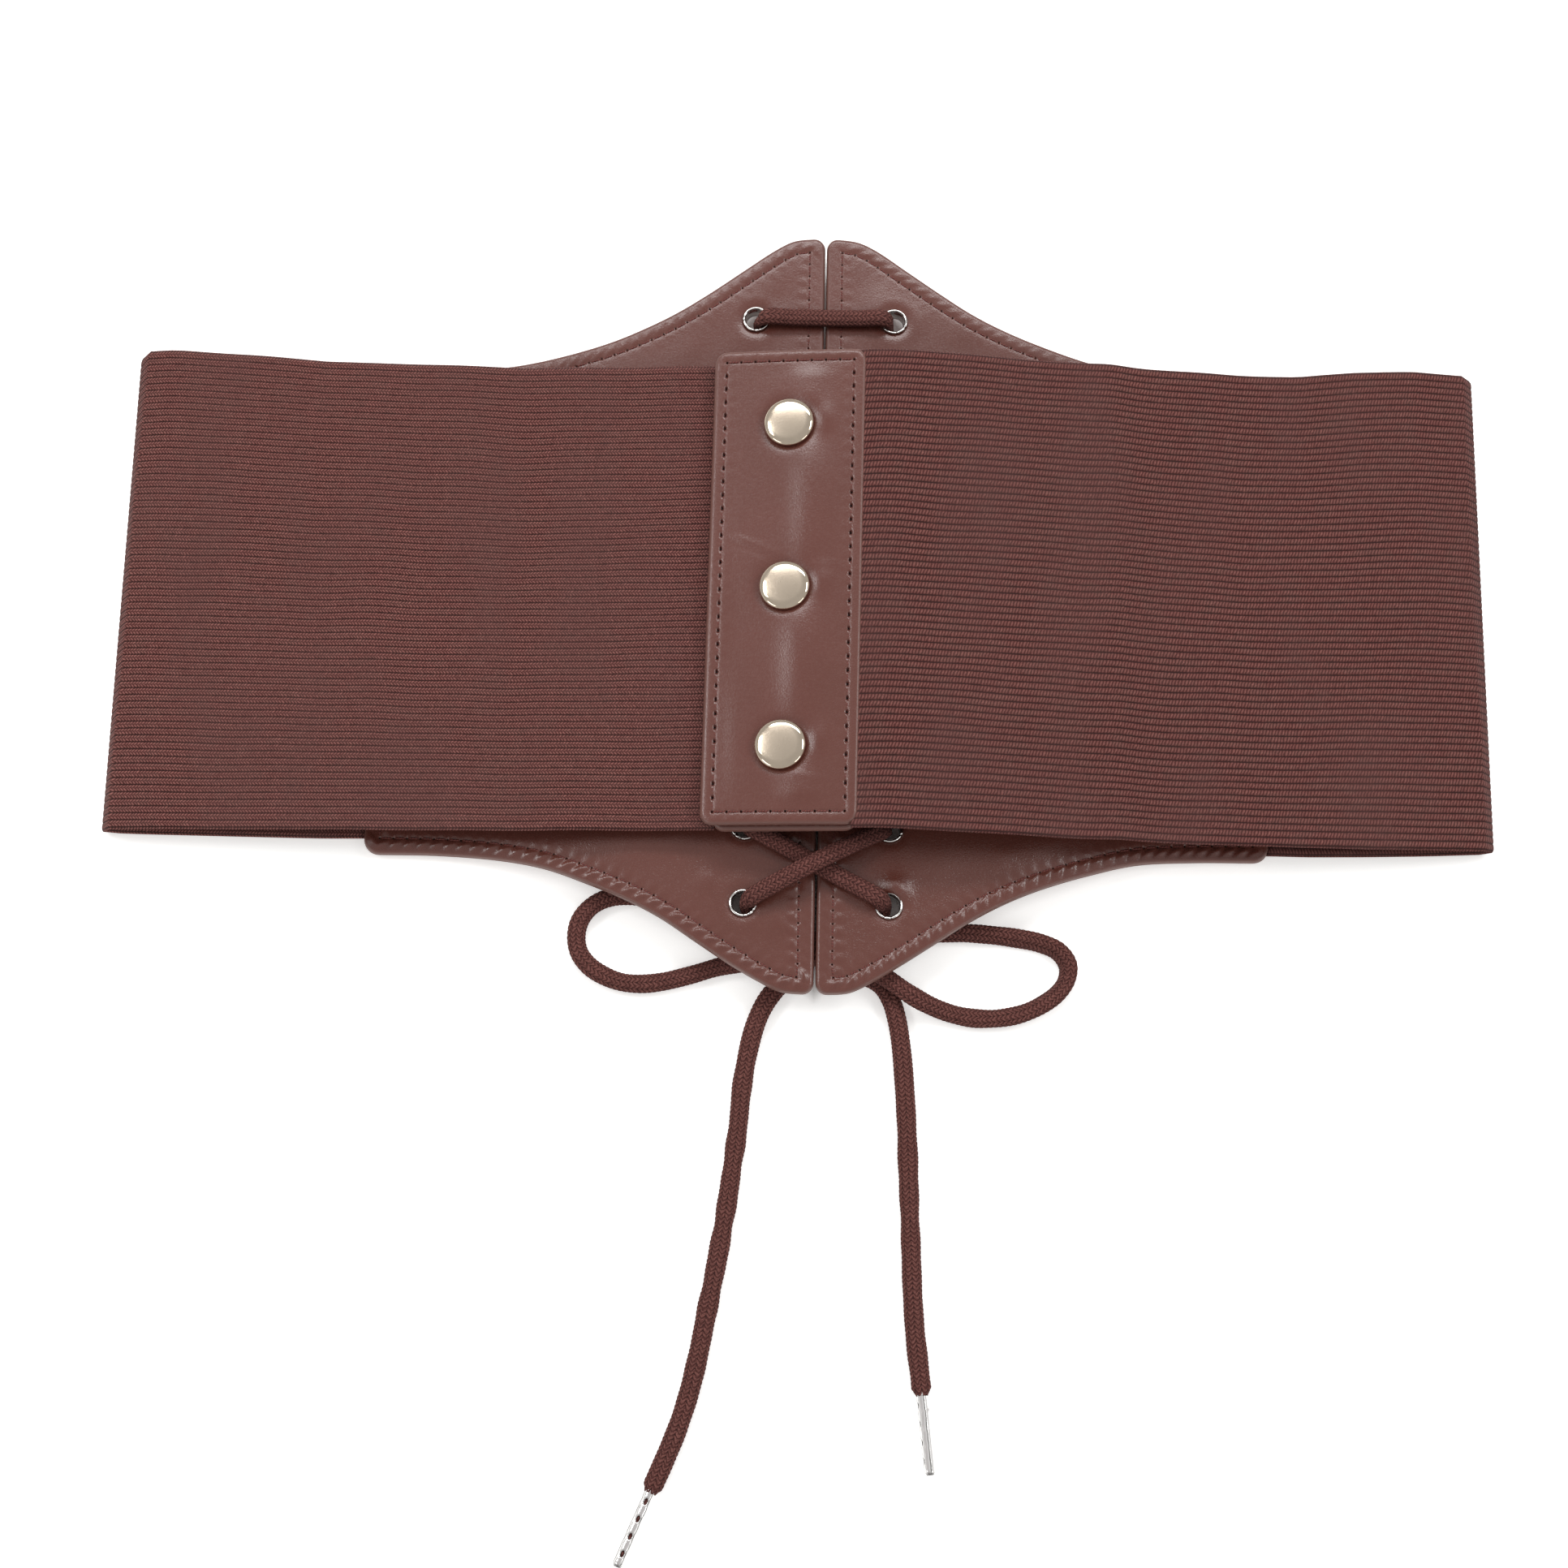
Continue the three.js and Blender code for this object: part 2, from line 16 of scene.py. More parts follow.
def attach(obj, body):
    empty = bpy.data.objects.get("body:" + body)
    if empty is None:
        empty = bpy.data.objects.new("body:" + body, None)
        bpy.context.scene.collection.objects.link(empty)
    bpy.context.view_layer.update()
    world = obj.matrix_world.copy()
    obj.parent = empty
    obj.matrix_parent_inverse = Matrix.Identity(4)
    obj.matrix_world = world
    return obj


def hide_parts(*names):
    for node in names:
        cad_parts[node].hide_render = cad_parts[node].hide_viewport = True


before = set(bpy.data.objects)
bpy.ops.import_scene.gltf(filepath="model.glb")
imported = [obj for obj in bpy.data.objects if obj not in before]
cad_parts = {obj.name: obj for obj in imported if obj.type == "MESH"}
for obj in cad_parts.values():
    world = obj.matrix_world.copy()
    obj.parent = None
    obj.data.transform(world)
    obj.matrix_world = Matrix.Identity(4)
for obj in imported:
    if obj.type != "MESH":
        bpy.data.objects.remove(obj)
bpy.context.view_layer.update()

bl_info = {
    "name": "Lace-up Waist Belt",
    "version": (1, 0, 0),
    "blender": (4, 5, 0),
    "location": "View3D > Sidebar > Belt",
    "description": "A wide elastic waist belt with laced leather panels and a snap placket",
    "category": "Object",
}

MM = 0.001
UP = np.array([0, 0, 1.0])
BODY = "root"
GAP_X = 4.6  # where the gap between the panels is, in the part's frame

# ---------------------------------------------------------------- sizes shared with the solids

LEFT_FOLD = -169.9  # where the elastic's folds end, in x
RIGHT_FOLD = 160.7
BAND = {"width": 120, "middle": 1.9, "thickness": 1.4, "fold": 1.75}
BAND_LOW = BAND["thickness"] / 2
# x, and how far the upper and the lower edge of the elastic's top layer are moved there.
BAND_EDGES = np.array([
    (-170, 1.4, 0.4), (-160, 1.3, 0.2), (-143, -0.3, 0.1), (-122, -2.4, 0), (-98, -3.5, 0),
    (-72, -4.3, 0.1), (-25, -4.1, 0.4), (10, -2.4, -0.2), (56, -2.1, -0.2), (100, -2.8, -0.2),
    (116, -2.4, 0), (130, -0.4, 0.3), (145, 1.1, 0.8), (161, 1.4, 1.6),
])

PANEL = {"gap": 0.8, "width": 106.6, "thickness": 2.8, "peak": 95.2}
# Distance from the gap, and how far the upper and the lower edge are from the middle.
PANEL_EDGES = {
    "left": [
        (8, 94.5, 94.7), (13, 91.7, 92.4), (20, 86.5, 88.4), (28, 80.5, 83.2), (36, 75.1, 77.9),
        (44, 70.8, 73.7), (53, 67.0, 69.9), (64, 63.9, 65.9), (76, 61.7, 63.6), (90, 60.7, 62.5),
        (103.4, 60.5, 62.4),
    ],
    "right": [
        (8, 94.5, 94.7), (13, 92.0, 92.3), (20, 87.0, 88.0), (28, 81.3, 82.7), (36, 76.0, 77.4),
        (44, 71.9, 72.9), (53, 68.4, 68.9), (64, 65.1, 65.1), (76, 62.7, 61.9), (90, 61.6, 60.7),
        (103.4, 61.4, 60.4),
    ],
}
# Heights of a panel's under side at the gap and at its outer end, and how it slopes between.
PANEL_LIFT = {"high": 6.6, "low": 0.1, "flat_to": 24, "easing": 38}
LEATHER_GAP = 0.6  # between the soft edges of the two panels
PEAK_RADIUS = 2.6

EYELET = {"from_gap": 17, "top": 73, "pitch": 18.4, "rows": 9, "hole": 2.4, "wall": 0.35}
RING_RADIUS = 3.3  # of an eyelet's lip on the inner face
FLANGE_RADIUS = 4.7  # and of its flange on the outer face
EYELET_SIDES = 40

KNOT = (0, -83.5, 3.1)
AGLET_LENGTH = 18.6
AGLET_RADIUS = 1.3

STRIP = {"width": 36, "height": 118, "thickness": 2.6, "corner": 3}
# The strip under it is a little smaller, and set off from it.
UNDER_STRIP = {"width": 34, "shift_x": 0.8, "shift_y": -0.8, "top": -2.9}
# The middle of the placket's upper face, and how it leans and turns, in degrees.
PLACKET = {"x": -8.65, "y": 1.25, "z": 20.9, "lean": 8, "turn": 0.45}
SNAP = {"cap": 6, "post": 1.9, "flange": 4.5}
SNAP_PLACES = (39.8, -1.4, -40.3)
SNAP_SIDES = 64

LYING = 1.6  # height of the lace's middle where it lies on the table
HUMP = 4.75  # and where it lies on another run of lace


def on_table(points):
    """A route of the lace, whose points without a height lie on the table."""
    return [(*point, LYING)[:3] for point in points]


LOOP_LEFT = on_table([
    (-1.2, -83.0, LYING + 0.5), (-5.1, -82.8), (-11, -81.8), (-17, -79.6), (-24, -76.0),
    (-31, -73.6), (-37, -72.2), (-43, -71.3), (-48.5, -71.8), (-52.7, -74.0), (-55.3, -77.5),
    (-56.0, -81.4), (-55.2, -85.1), (-52.7, -88.3), (-49.2, -90.5), (-45.3, -91.9),
    (-40.8, -92.3), (-35.5, -91.7), (-29.0, -90.0), (-22.0, -87.8), (-15.8, -86.9, LYING + 1.2),
    (-10.2, -85.9, HUMP - 0.4), (-5.0, -85.3, HUMP), (-1.2, -84.6, HUMP - 0.7),
])
LOOP_RIGHT = on_table([
    (1.2, -83.0, LYING + 0.5), (5.1, -82.9), (12, -81.7), (19, -80.2), (27, -79.1), (35, -78.7),
    (42, -79.1), (48, -79.8), (53, -80.8), (57.2, -82.7), (59.4, -86.0), (59.0, -89.6),
    (56.8, -92.8), (53.2, -95.5), (49.0, -97.5), (44.7, -98.6), (40.2, -99.0), (35.5, -98.7),
    (31.0, -97.7, LYING + 0.4), (26.5, -96.2, LYING + 1.9), (22.4, -94.2, HUMP),
    (18.4, -91.5, HUMP), (14.0, -88.6, HUMP), (9.6, -86.4, HUMP), (5.1, -84.8, HUMP),
    (1.2, -84.2, HUMP - 0.7),
])
TAIL_LEFT = on_table([
    (-2.5, -87.7), (-5.6, -90.0), (-8.8, -92.8), (-11.4, -96.4), (-13.6, -101.6), (-15.3, -109.0),
    (-16.4, -116.8), (-17.0, -125.0), (-18.0, -133.5), (-19.1, -142.6), (-20.4, -151.5),
    (-21.8, -160.0), (-23.3, -168.4), (-24.8, -177.0), (-26.8, -186.0), (-29.2, -193.8),
    (-32.2, -201.4), (-34.85, -207.6),
])
TAIL_RIGHT = on_table([
    (3.7, -87.5), (7.9, -88.4), (12.4, -89.7), (16.0, -91.8), (18.0, -95.0), (19.4, -99.5),
    (20.5, -106.2), (21.3, -115.0), (21.9, -124.5), (22.3, -134.0), (22.7, -143.5),
    (23.1, -153.0), (23.5, -162.5), (24.2, -172.0), (25.3, -180.9), (25.8, -185.3),
])

# Heights of the lace on the panels' inner face and on their outer face.
INNER = {"shoulder": 11.8, "bend": 11.0, "resting": 11.1, "crossing": 14.2}
OUTER = {"shoulder": 3.9, "bend": 4.7, "resting": 4.75, "crossing": 1.65}
SHOULDER = 3.4  # distances from an eyelet's middle towards the next eyelet
BEND = 2.1
IN_HOLE = 1.25
HOLE_HEIGHTS = (6.8, 9.3)  # of the lace inside a hole, near its lower and its upper end
CROSSING_HALF = 4.2  # half the length over which two runs of lace cross
TOP_BAR_HALF = 9  # and over which the top bar is straight
KNOT_REACH = 5.6  # where the lace leaves the knot: distance and height
KNOT_EXIT = 4.55

# Camera: the point it looks at, its distance and its angles.
CAMERA = {
    "target": (-3.3347, -42.8309, 0), "distance": 666.082, "from_upright": 15, "roll": 0.0192,
    "lens": 64.006, "sensor": 36,
}


class BeltSizes(bpy.types.PropertyGroup):
    """Sizes of the belt's fine detail."""

    ribs: IntProperty(
        name="Ribs", description="Number of ribs across the elastic", default=71, min=10
    )
    rib_height: FloatProperty(
        name="Rib height", description="How far a rib of the elastic stands above its grooves",
        default=0.0003, unit="LENGTH",
    )
    cord_width: FloatProperty(
        name="Lace width", description="Broad side of the lace", default=0.0043, unit="LENGTH"
    )
    cord_thickness: FloatProperty(
        name="Lace thickness", description="Thin side of the lace", default=0.0029, unit="LENGTH"
    )
    braid_pitch: FloatProperty(
        name="Braid pitch", description="Distance from one strand of the braid to the next",
        default=0.00108, unit="LENGTH",
    )
    panel_inset: FloatProperty(
        name="Panel seam", description="Distance of the stitches from a panel's edge",
        default=0.0037, unit="LENGTH",
    )
    placket_inset: FloatProperty(
        name="Placket seam", description="Distance of the stitches from the placket's edge",
        default=0.0029, unit="LENGTH",
    )
    panel_stitch: FloatProperty(
        name="Panel stitch", description="Length of one stitch on the panels", default=0.00323,
        unit="LENGTH",
    )
    placket_stitch: FloatProperty(
        name="Placket stitch", description="Length of one stitch on the placket",
        default=0.00344, unit="LENGTH",
    )
    thread: FloatProperty(
        name="Thread", description="Diameter of the sewing thread", default=0.00046,
        unit="LENGTH",
    )


def colour(name, description, default):
    """A colour that the user can set."""
    return FloatVectorProperty(
        name=name, description=description, default=default, subtype="COLOR", min=0, max=1
    )


class BeltColours(bpy.types.PropertyGroup):
    """Colours of the belt's materials."""

    elastic: colour("Elastic", "Yarn of the elastic", (0.075, 0.020, 0.018))
    # Painted highlight on the knit's raised loops, which stray pale fibres share.
    elastic_highlight_and_fibres: colour("Elastic, light", "Raised loops of the knit", (0.32, 0.130, 0.112))
    leather: colour("Leather", "Face of the leather", (0.120, 0.037, 0.027))
    leather_rim: colour("Leather, rim", "Burnished edge of the leather", (0.145, 0.066, 0.052))
    lace: colour("Lace", "Yarn of the lace", (0.068, 0.020, 0.017))
    # Painted highlight on the crests of the braid's strands.
    lace_strand_highlight: colour("Lace, light", "Raised yarn of the lace", (0.19, 0.074, 0.062))
    thread: colour("Thread", "Sewing thread", (0.19, 0.045, 0.036))
    nickel: colour("Nickel", "Eyelets", (0.80, 0.79, 0.77))
    tip: colour("Tips", "Lace tips", (0.90, 0.89, 0.88))
    cap: colour("Snap cap", "Warm satin nickel of the snaps", (0.67, 0.565, 0.45))
    table: colour("Table", "The white table", (0.96, 0.96, 0.95))


def sizes():
    """The belt's sizes, as the user has set them."""
    return bpy.context.scene.belt_sizes


def colours():
    """The belt's colours, as the user has set them."""
    return bpy.context.scene.belt_colours


# ---------------------------------------------------------------- materials

# Tones of yarn, leather and metal beside the ones that a user sets.
FADED_YARN = (0.075, 0.034, 0.029)
# Painted shade in the gaps between the knit's loops.
YARN_GAP_SHADE = (0.035, 0.011, 0.010)
# Painted shade in the grooves between the elastic's ribs.
GROOVE_SHADE = (0.024, 0.008, 0.007)
# Broad paler patches, drawn out across the elastic.
PALE_PATCH = (0.100, 0.046, 0.042)
DARK_LEATHER = (0.098, 0.028, 0.019)
PALE_LEATHER = (0.18, 0.072, 0.055)
# Painted shade at the bottom of the stitch holes.
STITCH_HOLE_SHADE = (0.006, 0.002, 0.002)
# Painted shade in the gaps between the braid's strands.
BRAID_GAP_SHADE = (0.020, 0.006, 0.005)
# Painted shade between the plies of the sewing thread.
THREAD_PLY_SHADE = (0.060, 0.013, 0.010)
# Painted grey reflection along the lace tips, and the grey of their scratches.
GREY_REFLECTION_AND_SCRATCHES = (0.56, 0.52, 0.52)
# Painted shade and painted dark reflections on the lace tips.
PAINTED_METAL_SHADE = (0.06, 0.055, 0.05)
TABLE_FIBRE = (0.94, 0.94, 0.93)
TABLE_GLOW = (1, 1, 0.99)
BLACK = (0, 0, 0)

KNIT_PITCH = 0.76  # from one loop of the elastic's knit to the next


class Value:
    """A socket of a material, which adds Math nodes when it is used in an expression."""

    def __init__(self, finish, socket):
        self.finish = finish
        self.socket = socket

    def math(self, operation, *values):
        return self.finish.node(
            "ShaderNodeMath", {"operation": operation}, dict(enumerate(values))
        )

    def __add__(self, other):
        return self.math("ADD", self, other)

    def __sub__(self, other):
        return self.math("SUBTRACT", self, other)

    def __rsub__(self, other):
        return self.math("SUBTRACT", other, self)

    def __mul__(self, other):
        return self.math("MULTIPLY", self, other)

    def __truediv__(self, other):
        return self.math("DIVIDE", self, other)

    def __pow__(self, other):
        return self.math("POWER", self, other)

    def __abs__(self):
        return self.math("ABSOLUTE", self)

    __radd__ = __add__
    __rmul__ = __mul__

    def fract(self):
        return self.math("FRACT", self)

    def floor(self):
        return self.math("FLOOR", self)

    def most(self, other):
        return self.math("MAXIMUM", self, other)

    def wave(self):
        """1 where the value is whole, and 0 halfway between."""
        return self.math("COSINE", self * math.tau) * 0.5 + 0.5

    def rise(self, low, high):
        """A smooth step from 0 at low to 1 at high."""
        return self.finish.node(
            "ShaderNodeMapRange", {"interpolation_type": "SMOOTHSTEP"},
            {"Value": self, "From Min": low, "From Max": high},
        )


class Finish:
    """One material and its nodes."""

    def __init__(self, name, **constants):
        self.material = bpy.data.materials.new(name)
        self.material.use_nodes = True
        self.tree = self.material.node_tree
        self.tree.nodes.clear()
        self.constants = constants

    def node(self, kind, settings=None, sockets=None, output=0):
        """Adds a node, with its settings made first and then its sockets fed."""
        made = self.tree.nodes.new(kind)
        for name, value in (settings or {}).items():
            setattr(made, name, value)
        for key, value in (sockets or {}).items():
            if isinstance(value, Value):
                self.tree.links.new(value.socket, made.inputs[key])
            elif value is not None:
                made.inputs[key].default_value = value
        return Value(self, made.outputs[output]) if made.outputs else None

    def mix(self, factor, first, second):
        """A colour between two others."""
        rgba = [c if isinstance(c, Value) else (*c, 1) for c in (first, second)]
        return self.node(
            "ShaderNodeMix", {"data_type": "RGBA"}, {0: factor, 6: rgba[0], 7: rgba[1]}, 2
        )

    def place(self):
        """The place on the belt, in millimetres."""
        where = self.node("ShaderNodeTexCoord", output=3)
        return self.stretch(where, (1 / MM, 1 / MM, 1 / MM))

    def stretch(self, vector, scale):
        """A vector scaled along each axis."""
        return self.node(
            "ShaderNodeVectorMath", {"operation": "MULTIPLY"}, {0: vector, 1: scale}
        )

    def flat(self, name):
        """The two flat coordinates that a piece carries under this name."""
        pair = self.node("ShaderNodeUVMap", {"uv_map": name})
        return [self.node("ShaderNodeSeparateXYZ", sockets={0: pair}, output=i) for i in (0, 1)]

    def mask(self, name):
        """A number that a piece carries at each of its points."""
        return self.node("ShaderNodeAttribute", {"attribute_name": name}, output=2)

    def noise(self, vector, scale, detail=2.0, roughness=0.5):
        """Soft random swells between 0 and 1."""
        return self.node(
            "ShaderNodeTexNoise", None,
            {"Vector": vector, "Scale": scale, "Detail": detail, "Roughness": roughness},
        )

    def cells(self, vector, scale, feature="F1"):
        """A distance inside random cells, from their middles or from their edges."""
        return self.node(
            "ShaderNodeTexVoronoi", {"feature": feature}, {"Vector": vector, "Scale": scale}
        )

    def combine(self, x, y):
        """A vector in the plane."""
        return self.node("ShaderNodeCombineXYZ", None, {0: x, 1: y})

    def finished(self, height, **surface):
        """Closes the material with a surface, and with relief from a height in millimetres."""
        surface["Normal"] = self.node(
            "ShaderNodeBump", None, {"Height": height, "Strength": 1.0, "Distance": MM}
        )
        surface = {**self.constants, **surface}
        sockets = {name.replace("_", " "): value for name, value in surface.items()}
        shader = self.node("ShaderNodeBsdfPrincipled", None, sockets)
        self.node("ShaderNodeOutputMaterial", None, {0: shader})
        return self.material


def elastic_finish(name, rows, slant, contrast, groove, depth):
    """Ribbed knit. Each rib holds rows of small loops, painted lighter as a highlight; its grooves
    have a width, and depth says how strongly painted shade darkens them.
    """
    finish = Finish(name, Roughness=0.85, Specular_IOR_Level=0.2)
    along, rib = finish.flat("knit")
    place = finish.place()
    across = rib.fract()
    row = (across * rows).fract() - 0.5
    turn = (across * rows).floor()
    uneven_knit = finish.noise(finish.stretch(place, (0.8, 1, 1)), 1.1, 3.0, 0.6)
    lean = row * slant * (1 - turn * 2)
    loops = along / KNIT_PITCH + turn * 0.5 + lean + rib.floor() * 0.37 + uneven_knit * 0.8
    loop = loops.wave() * (1 - (row * 2) ** 2)
    body = 1 - abs(across * 2 - 1) + (uneven_knit - 0.5) * 0.4 + (loop - 0.4) * 0.22
    open_rib = body.rise(0.0, groove)
    patches = finish.noise(finish.stretch(place, (1, 0.35, 1)), 0.05, 2.0)
    stray = finish.noise(finish.combine(along * 1.6, rib * 6), 1.0, 1.0).rise(0.66, 0.80)
    # Painted highlight on the raised loops of the open ribs, stronger where the knit is uneven;
    # stray pale fibres add to it.
    shade = contrast * loop * open_rib * (0.15 + uneven_knit * 1.4) + stray * 0.2
    faded = finish.noise(finish.stretch(place, (0.35, 1, 1)), 0.55, 2.0)
    tinted = finish.mix(faded.rise(0.42, 0.66) * 0.55, colours().elastic, FADED_YARN)
    # Painted shade in the gaps between the loops.
    tinted = finish.mix((1 - loop).rise(0.55, 1.0) * 0.35, tinted, YARN_GAP_SHADE)
    yarn = finish.mix(shade, tinted, colours().elastic_highlight_and_fibres)
    # Painted shade: the grooves between the ribs are darkened by depth.
    groove_shaded = finish.mix(open_rib * depth + (1 - depth), GROOVE_SHADE, yarn)
    tone = finish.mix(patches.rise(0.35, 0.7) * 0.30, groove_shaded, PALE_PATCH)
    return finish.finished(loop * open_rib * 0.12 + uneven_knit * 0.03, Base_Color=tone)


def leather_finish(name):
    """Smooth faced leather with a fine pebble grain, stretched into wrinkles in places."""
    finish = Finish(name, Specular_IOR_Level=0.6)
    place = finish.place()
    wander = finish.node(
        "ShaderNodeTexNoise", None, {"Vector": place, "Scale": 0.8, "Detail": 2.0}, 1
    )
    drift = finish.node(
        "ShaderNodeVectorMath", {"operation": "ADD"},
        {0: place, 1: finish.stretch(wander, (0.7, 0.7, 0.7))},
    )
    pebble = finish.cells(drift, 2.6)
    fine = finish.noise(place, 7.0, 2.0, 0.6)
    slanting = finish.node(
        "ShaderNodeVectorRotate", {"rotation_type": "Z_AXIS"}, {"Vector": drift, "Angle": 0.5}
    )
    crease = finish.cells(finish.stretch(slanting, (0.7, 1.5, 1.0)), 1.6, "DISTANCE_TO_EDGE")
    crackle = finish.mask("crackle")
    broad = finish.noise(place, 0.05, 3.0)
    spots = finish.noise(place, 1.1, 3.0, 0.6)
    rim = finish.mask("rim")
    face = finish.mix(broad.rise(0.3, 0.7) * 0.4, colours().leather, DARK_LEATHER)
    face = finish.mix(spots.rise(0.5, 0.85) * 0.22, face, PALE_LEATHER)
    face = finish.mix(rim * 0.75, face, colours().leather_rim)
    # Painted shade: the stitch holes are darkened nearly to black.
    face = finish.mix(finish.mask("hollow"), face, STITCH_HOLE_SHADE)
    height = pebble * -0.021 + fine * 0.007 + crease.rise(0.0, 0.25) * crackle * 0.018
    rough = 0.20 + spots * 0.10 + rim * 0.15 + fine * 0.05 + finish.mask("hollow") * 0.6
    return finish.finished(height, Base_Color=face, Roughness=rough)


def lace_finish(name):
    """A tubular braid: columns of slanting strands, each of fine yarn, with painted highlights on
    the strands and painted shade in the gaps between them.
    """
    finish = Finish(name, Roughness=0.8, Specular_IOR_Level=0.2)
    column, along = finish.flat("braid")
    out = abs(column.fract() * 2 - 1)
    specks = finish.noise(finish.place(), 3.5, 2.0, 0.6)
    uneven = finish.noise(finish.place(), 1.1, 2.0)
    phase = along + out ** 1.4 * SLANT + specks * 0.45 + uneven * 0.9
    valley = out.rise(0.70, 1.0)
    strand = (1 - phase.wave()).rise(0.0, 0.75) * (1 - valley * 0.5)
    yarn = (phase * 3).wave()
    shade = strand * (0.75 + 0.25 * yarn) * (0.25 + specks.rise(0.3, 0.72) * 1.2)
    # Painted highlight on the strands, weaker in the valleys between columns.
    tone = finish.mix(shade, colours().lace, colours().lace_strand_highlight)
    # Painted shade in the gaps between strands, deepest at the columns' edges.
    gap = (1 - strand).rise(0.62, 1.0) * (0.06 + 0.74 * out.rise(0.55, 0.95))
    tone = finish.mix(gap, tone, BRAID_GAP_SHADE)
    height = strand * 0.16 + yarn * 0.02 + specks * 0.03
    return finish.finished(height, Base_Color=tone)


def thread_finish(name):
    """Twisted sewing thread, with painted shade between its plies."""
    finish = Finish(name, Roughness=0.6, Specular_IOR_Level=0.4)
    around, along = finish.flat("twist")
    ply = (around + along * 1.4).wave()
    fuzz = finish.noise(finish.place(), 5.0, 2.0)
    # Painted shade between the plies.
    tone = finish.mix(ply * 0.7 + fuzz * 0.3, THREAD_PLY_SHADE, colours().thread)
    return finish.finished(ply * 0.06 + fuzz * 0.03, Base_Color=tone)


def tip_finish(name):
    """Bright plated sheet, with painted dark lines where it turns away from the light, a painted
    grey reflection along its middle, and painted shade at its end.
    """
    finish = Finish(name, Metallic=0.7)
    around = finish.mask("around")
    along = finish.mask("along")
    scratches = finish.noise(finish.stretch(finish.place(), (4, 0.6, 2)), 1.5, 2.0, 0.6)
    bends = (finish.noise(finish.combine(along * 0.3, 0.0), 1.0) - 0.5) * 0.5

    def line(angle, inner, outer, strength):
        """A line along the tip, fading out between two angles from its middle."""
        return (1 - abs(around - angle + bends).rise(inner, outer)) * strength

    # Painted shade where the tip rounds off at its end.
    end = along.rise(AGLET_LENGTH - 0.9, AGLET_LENGTH - 0.2) * 0.75
    # Painted grey reflection along the tip's middle; scratches take the same grey.
    pale = line(-0.05, 0.12, 0.34, 0.55)
    tone = finish.mix(pale + scratches * 0.2, colours().tip, GREY_REFLECTION_AND_SCRATCHES)
    # Painted dark reflections in two lines along the tip, with the painted shade at its end and
    # round its holes.
    dark = line(-0.62, 0.03, 0.15, 0.85).most(line(1.05, 0.05, 0.24, 0.8)).most(end)
    tone = finish.mix(dark.most(finish.mask("shade")), tone, PAINTED_METAL_SHADE)
    return finish.finished(
        scratches * 0.004, Base_Color=tone, Roughness=0.15 + scratches * 0.08
    )


def metal_finish(name, tone, rough, polish):
    """Plated metal with fine scratches; the mask named polish is brighter."""
    finish = Finish(name, Metallic=1.0)
    place = finish.place()
    scratches = finish.noise(finish.stretch(place, (6, 0.8, 3)), 2.0, 3.0, 0.7)
    smears = finish.noise(place, 0.45, 3.0, 0.6)
    polished = finish.mask("polish")
    roughness = (rough + scratches * 0.06 + smears * 0.06) * (1 - polished) + polished * polish
    dull = tuple(0.86 * channel for channel in tone)
    return finish.finished(
        (scratches * 0.006 + smears * 0.01) * (1 - polished),
        Base_Color=finish.mix(smears.rise(0.4, 0.75) * 0.5, tone, dull), Roughness=roughness,
    )


def table_finish(name):
    """A white table whose face glows a little, a painted light that lightens the shadows on it,
    but not under the panels.
    """
    finish = Finish(name, Specular_IOR_Level=0.2, Emission_Strength=0.4)
    place = finish.place()
    fibres = finish.noise(place, 0.6, 4.0, 0.6)
    tone = finish.mix(fibres * 0.3, colours().table, TABLE_FIBRE)
    x, y = (finish.node("ShaderNodeSeparateXYZ", sockets={0: place}, output=i) for i in (0, 1))
    # The painted glow is left out in a diamond round the middle of the belt, so the shade under
    # the panels stays.
    under = (97 - abs(x - GAP_X) * 0.9 - abs(y)).rise(0, 5)
    glow = finish.mix(under, TABLE_GLOW, BLACK)
    return finish.finished(
        fibres * 0.02, Base_Color=tone, Roughness=0.6 + fibres * 0.2, Emission_Color=glow
    )


def made_once(name, make, *values):
    """The material of this name, which is made the first time it is asked for."""
    return bpy.data.materials.get(name) or make(name, *values)


def leather():
    return made_once("grained_leather", leather_finish)


def lace():
    return made_once("braided_lace", lace_finish)


def thread():
    return made_once("sewing_thread", thread_finish)


def nickel():
    return made_once("bright_nickel", metal_finish, tuple(colours().nickel), 0.20, 0.10)


def tip_metal():
    return made_once("tip_nickel", tip_finish)


# ---------------------------------------------------------------- shapes


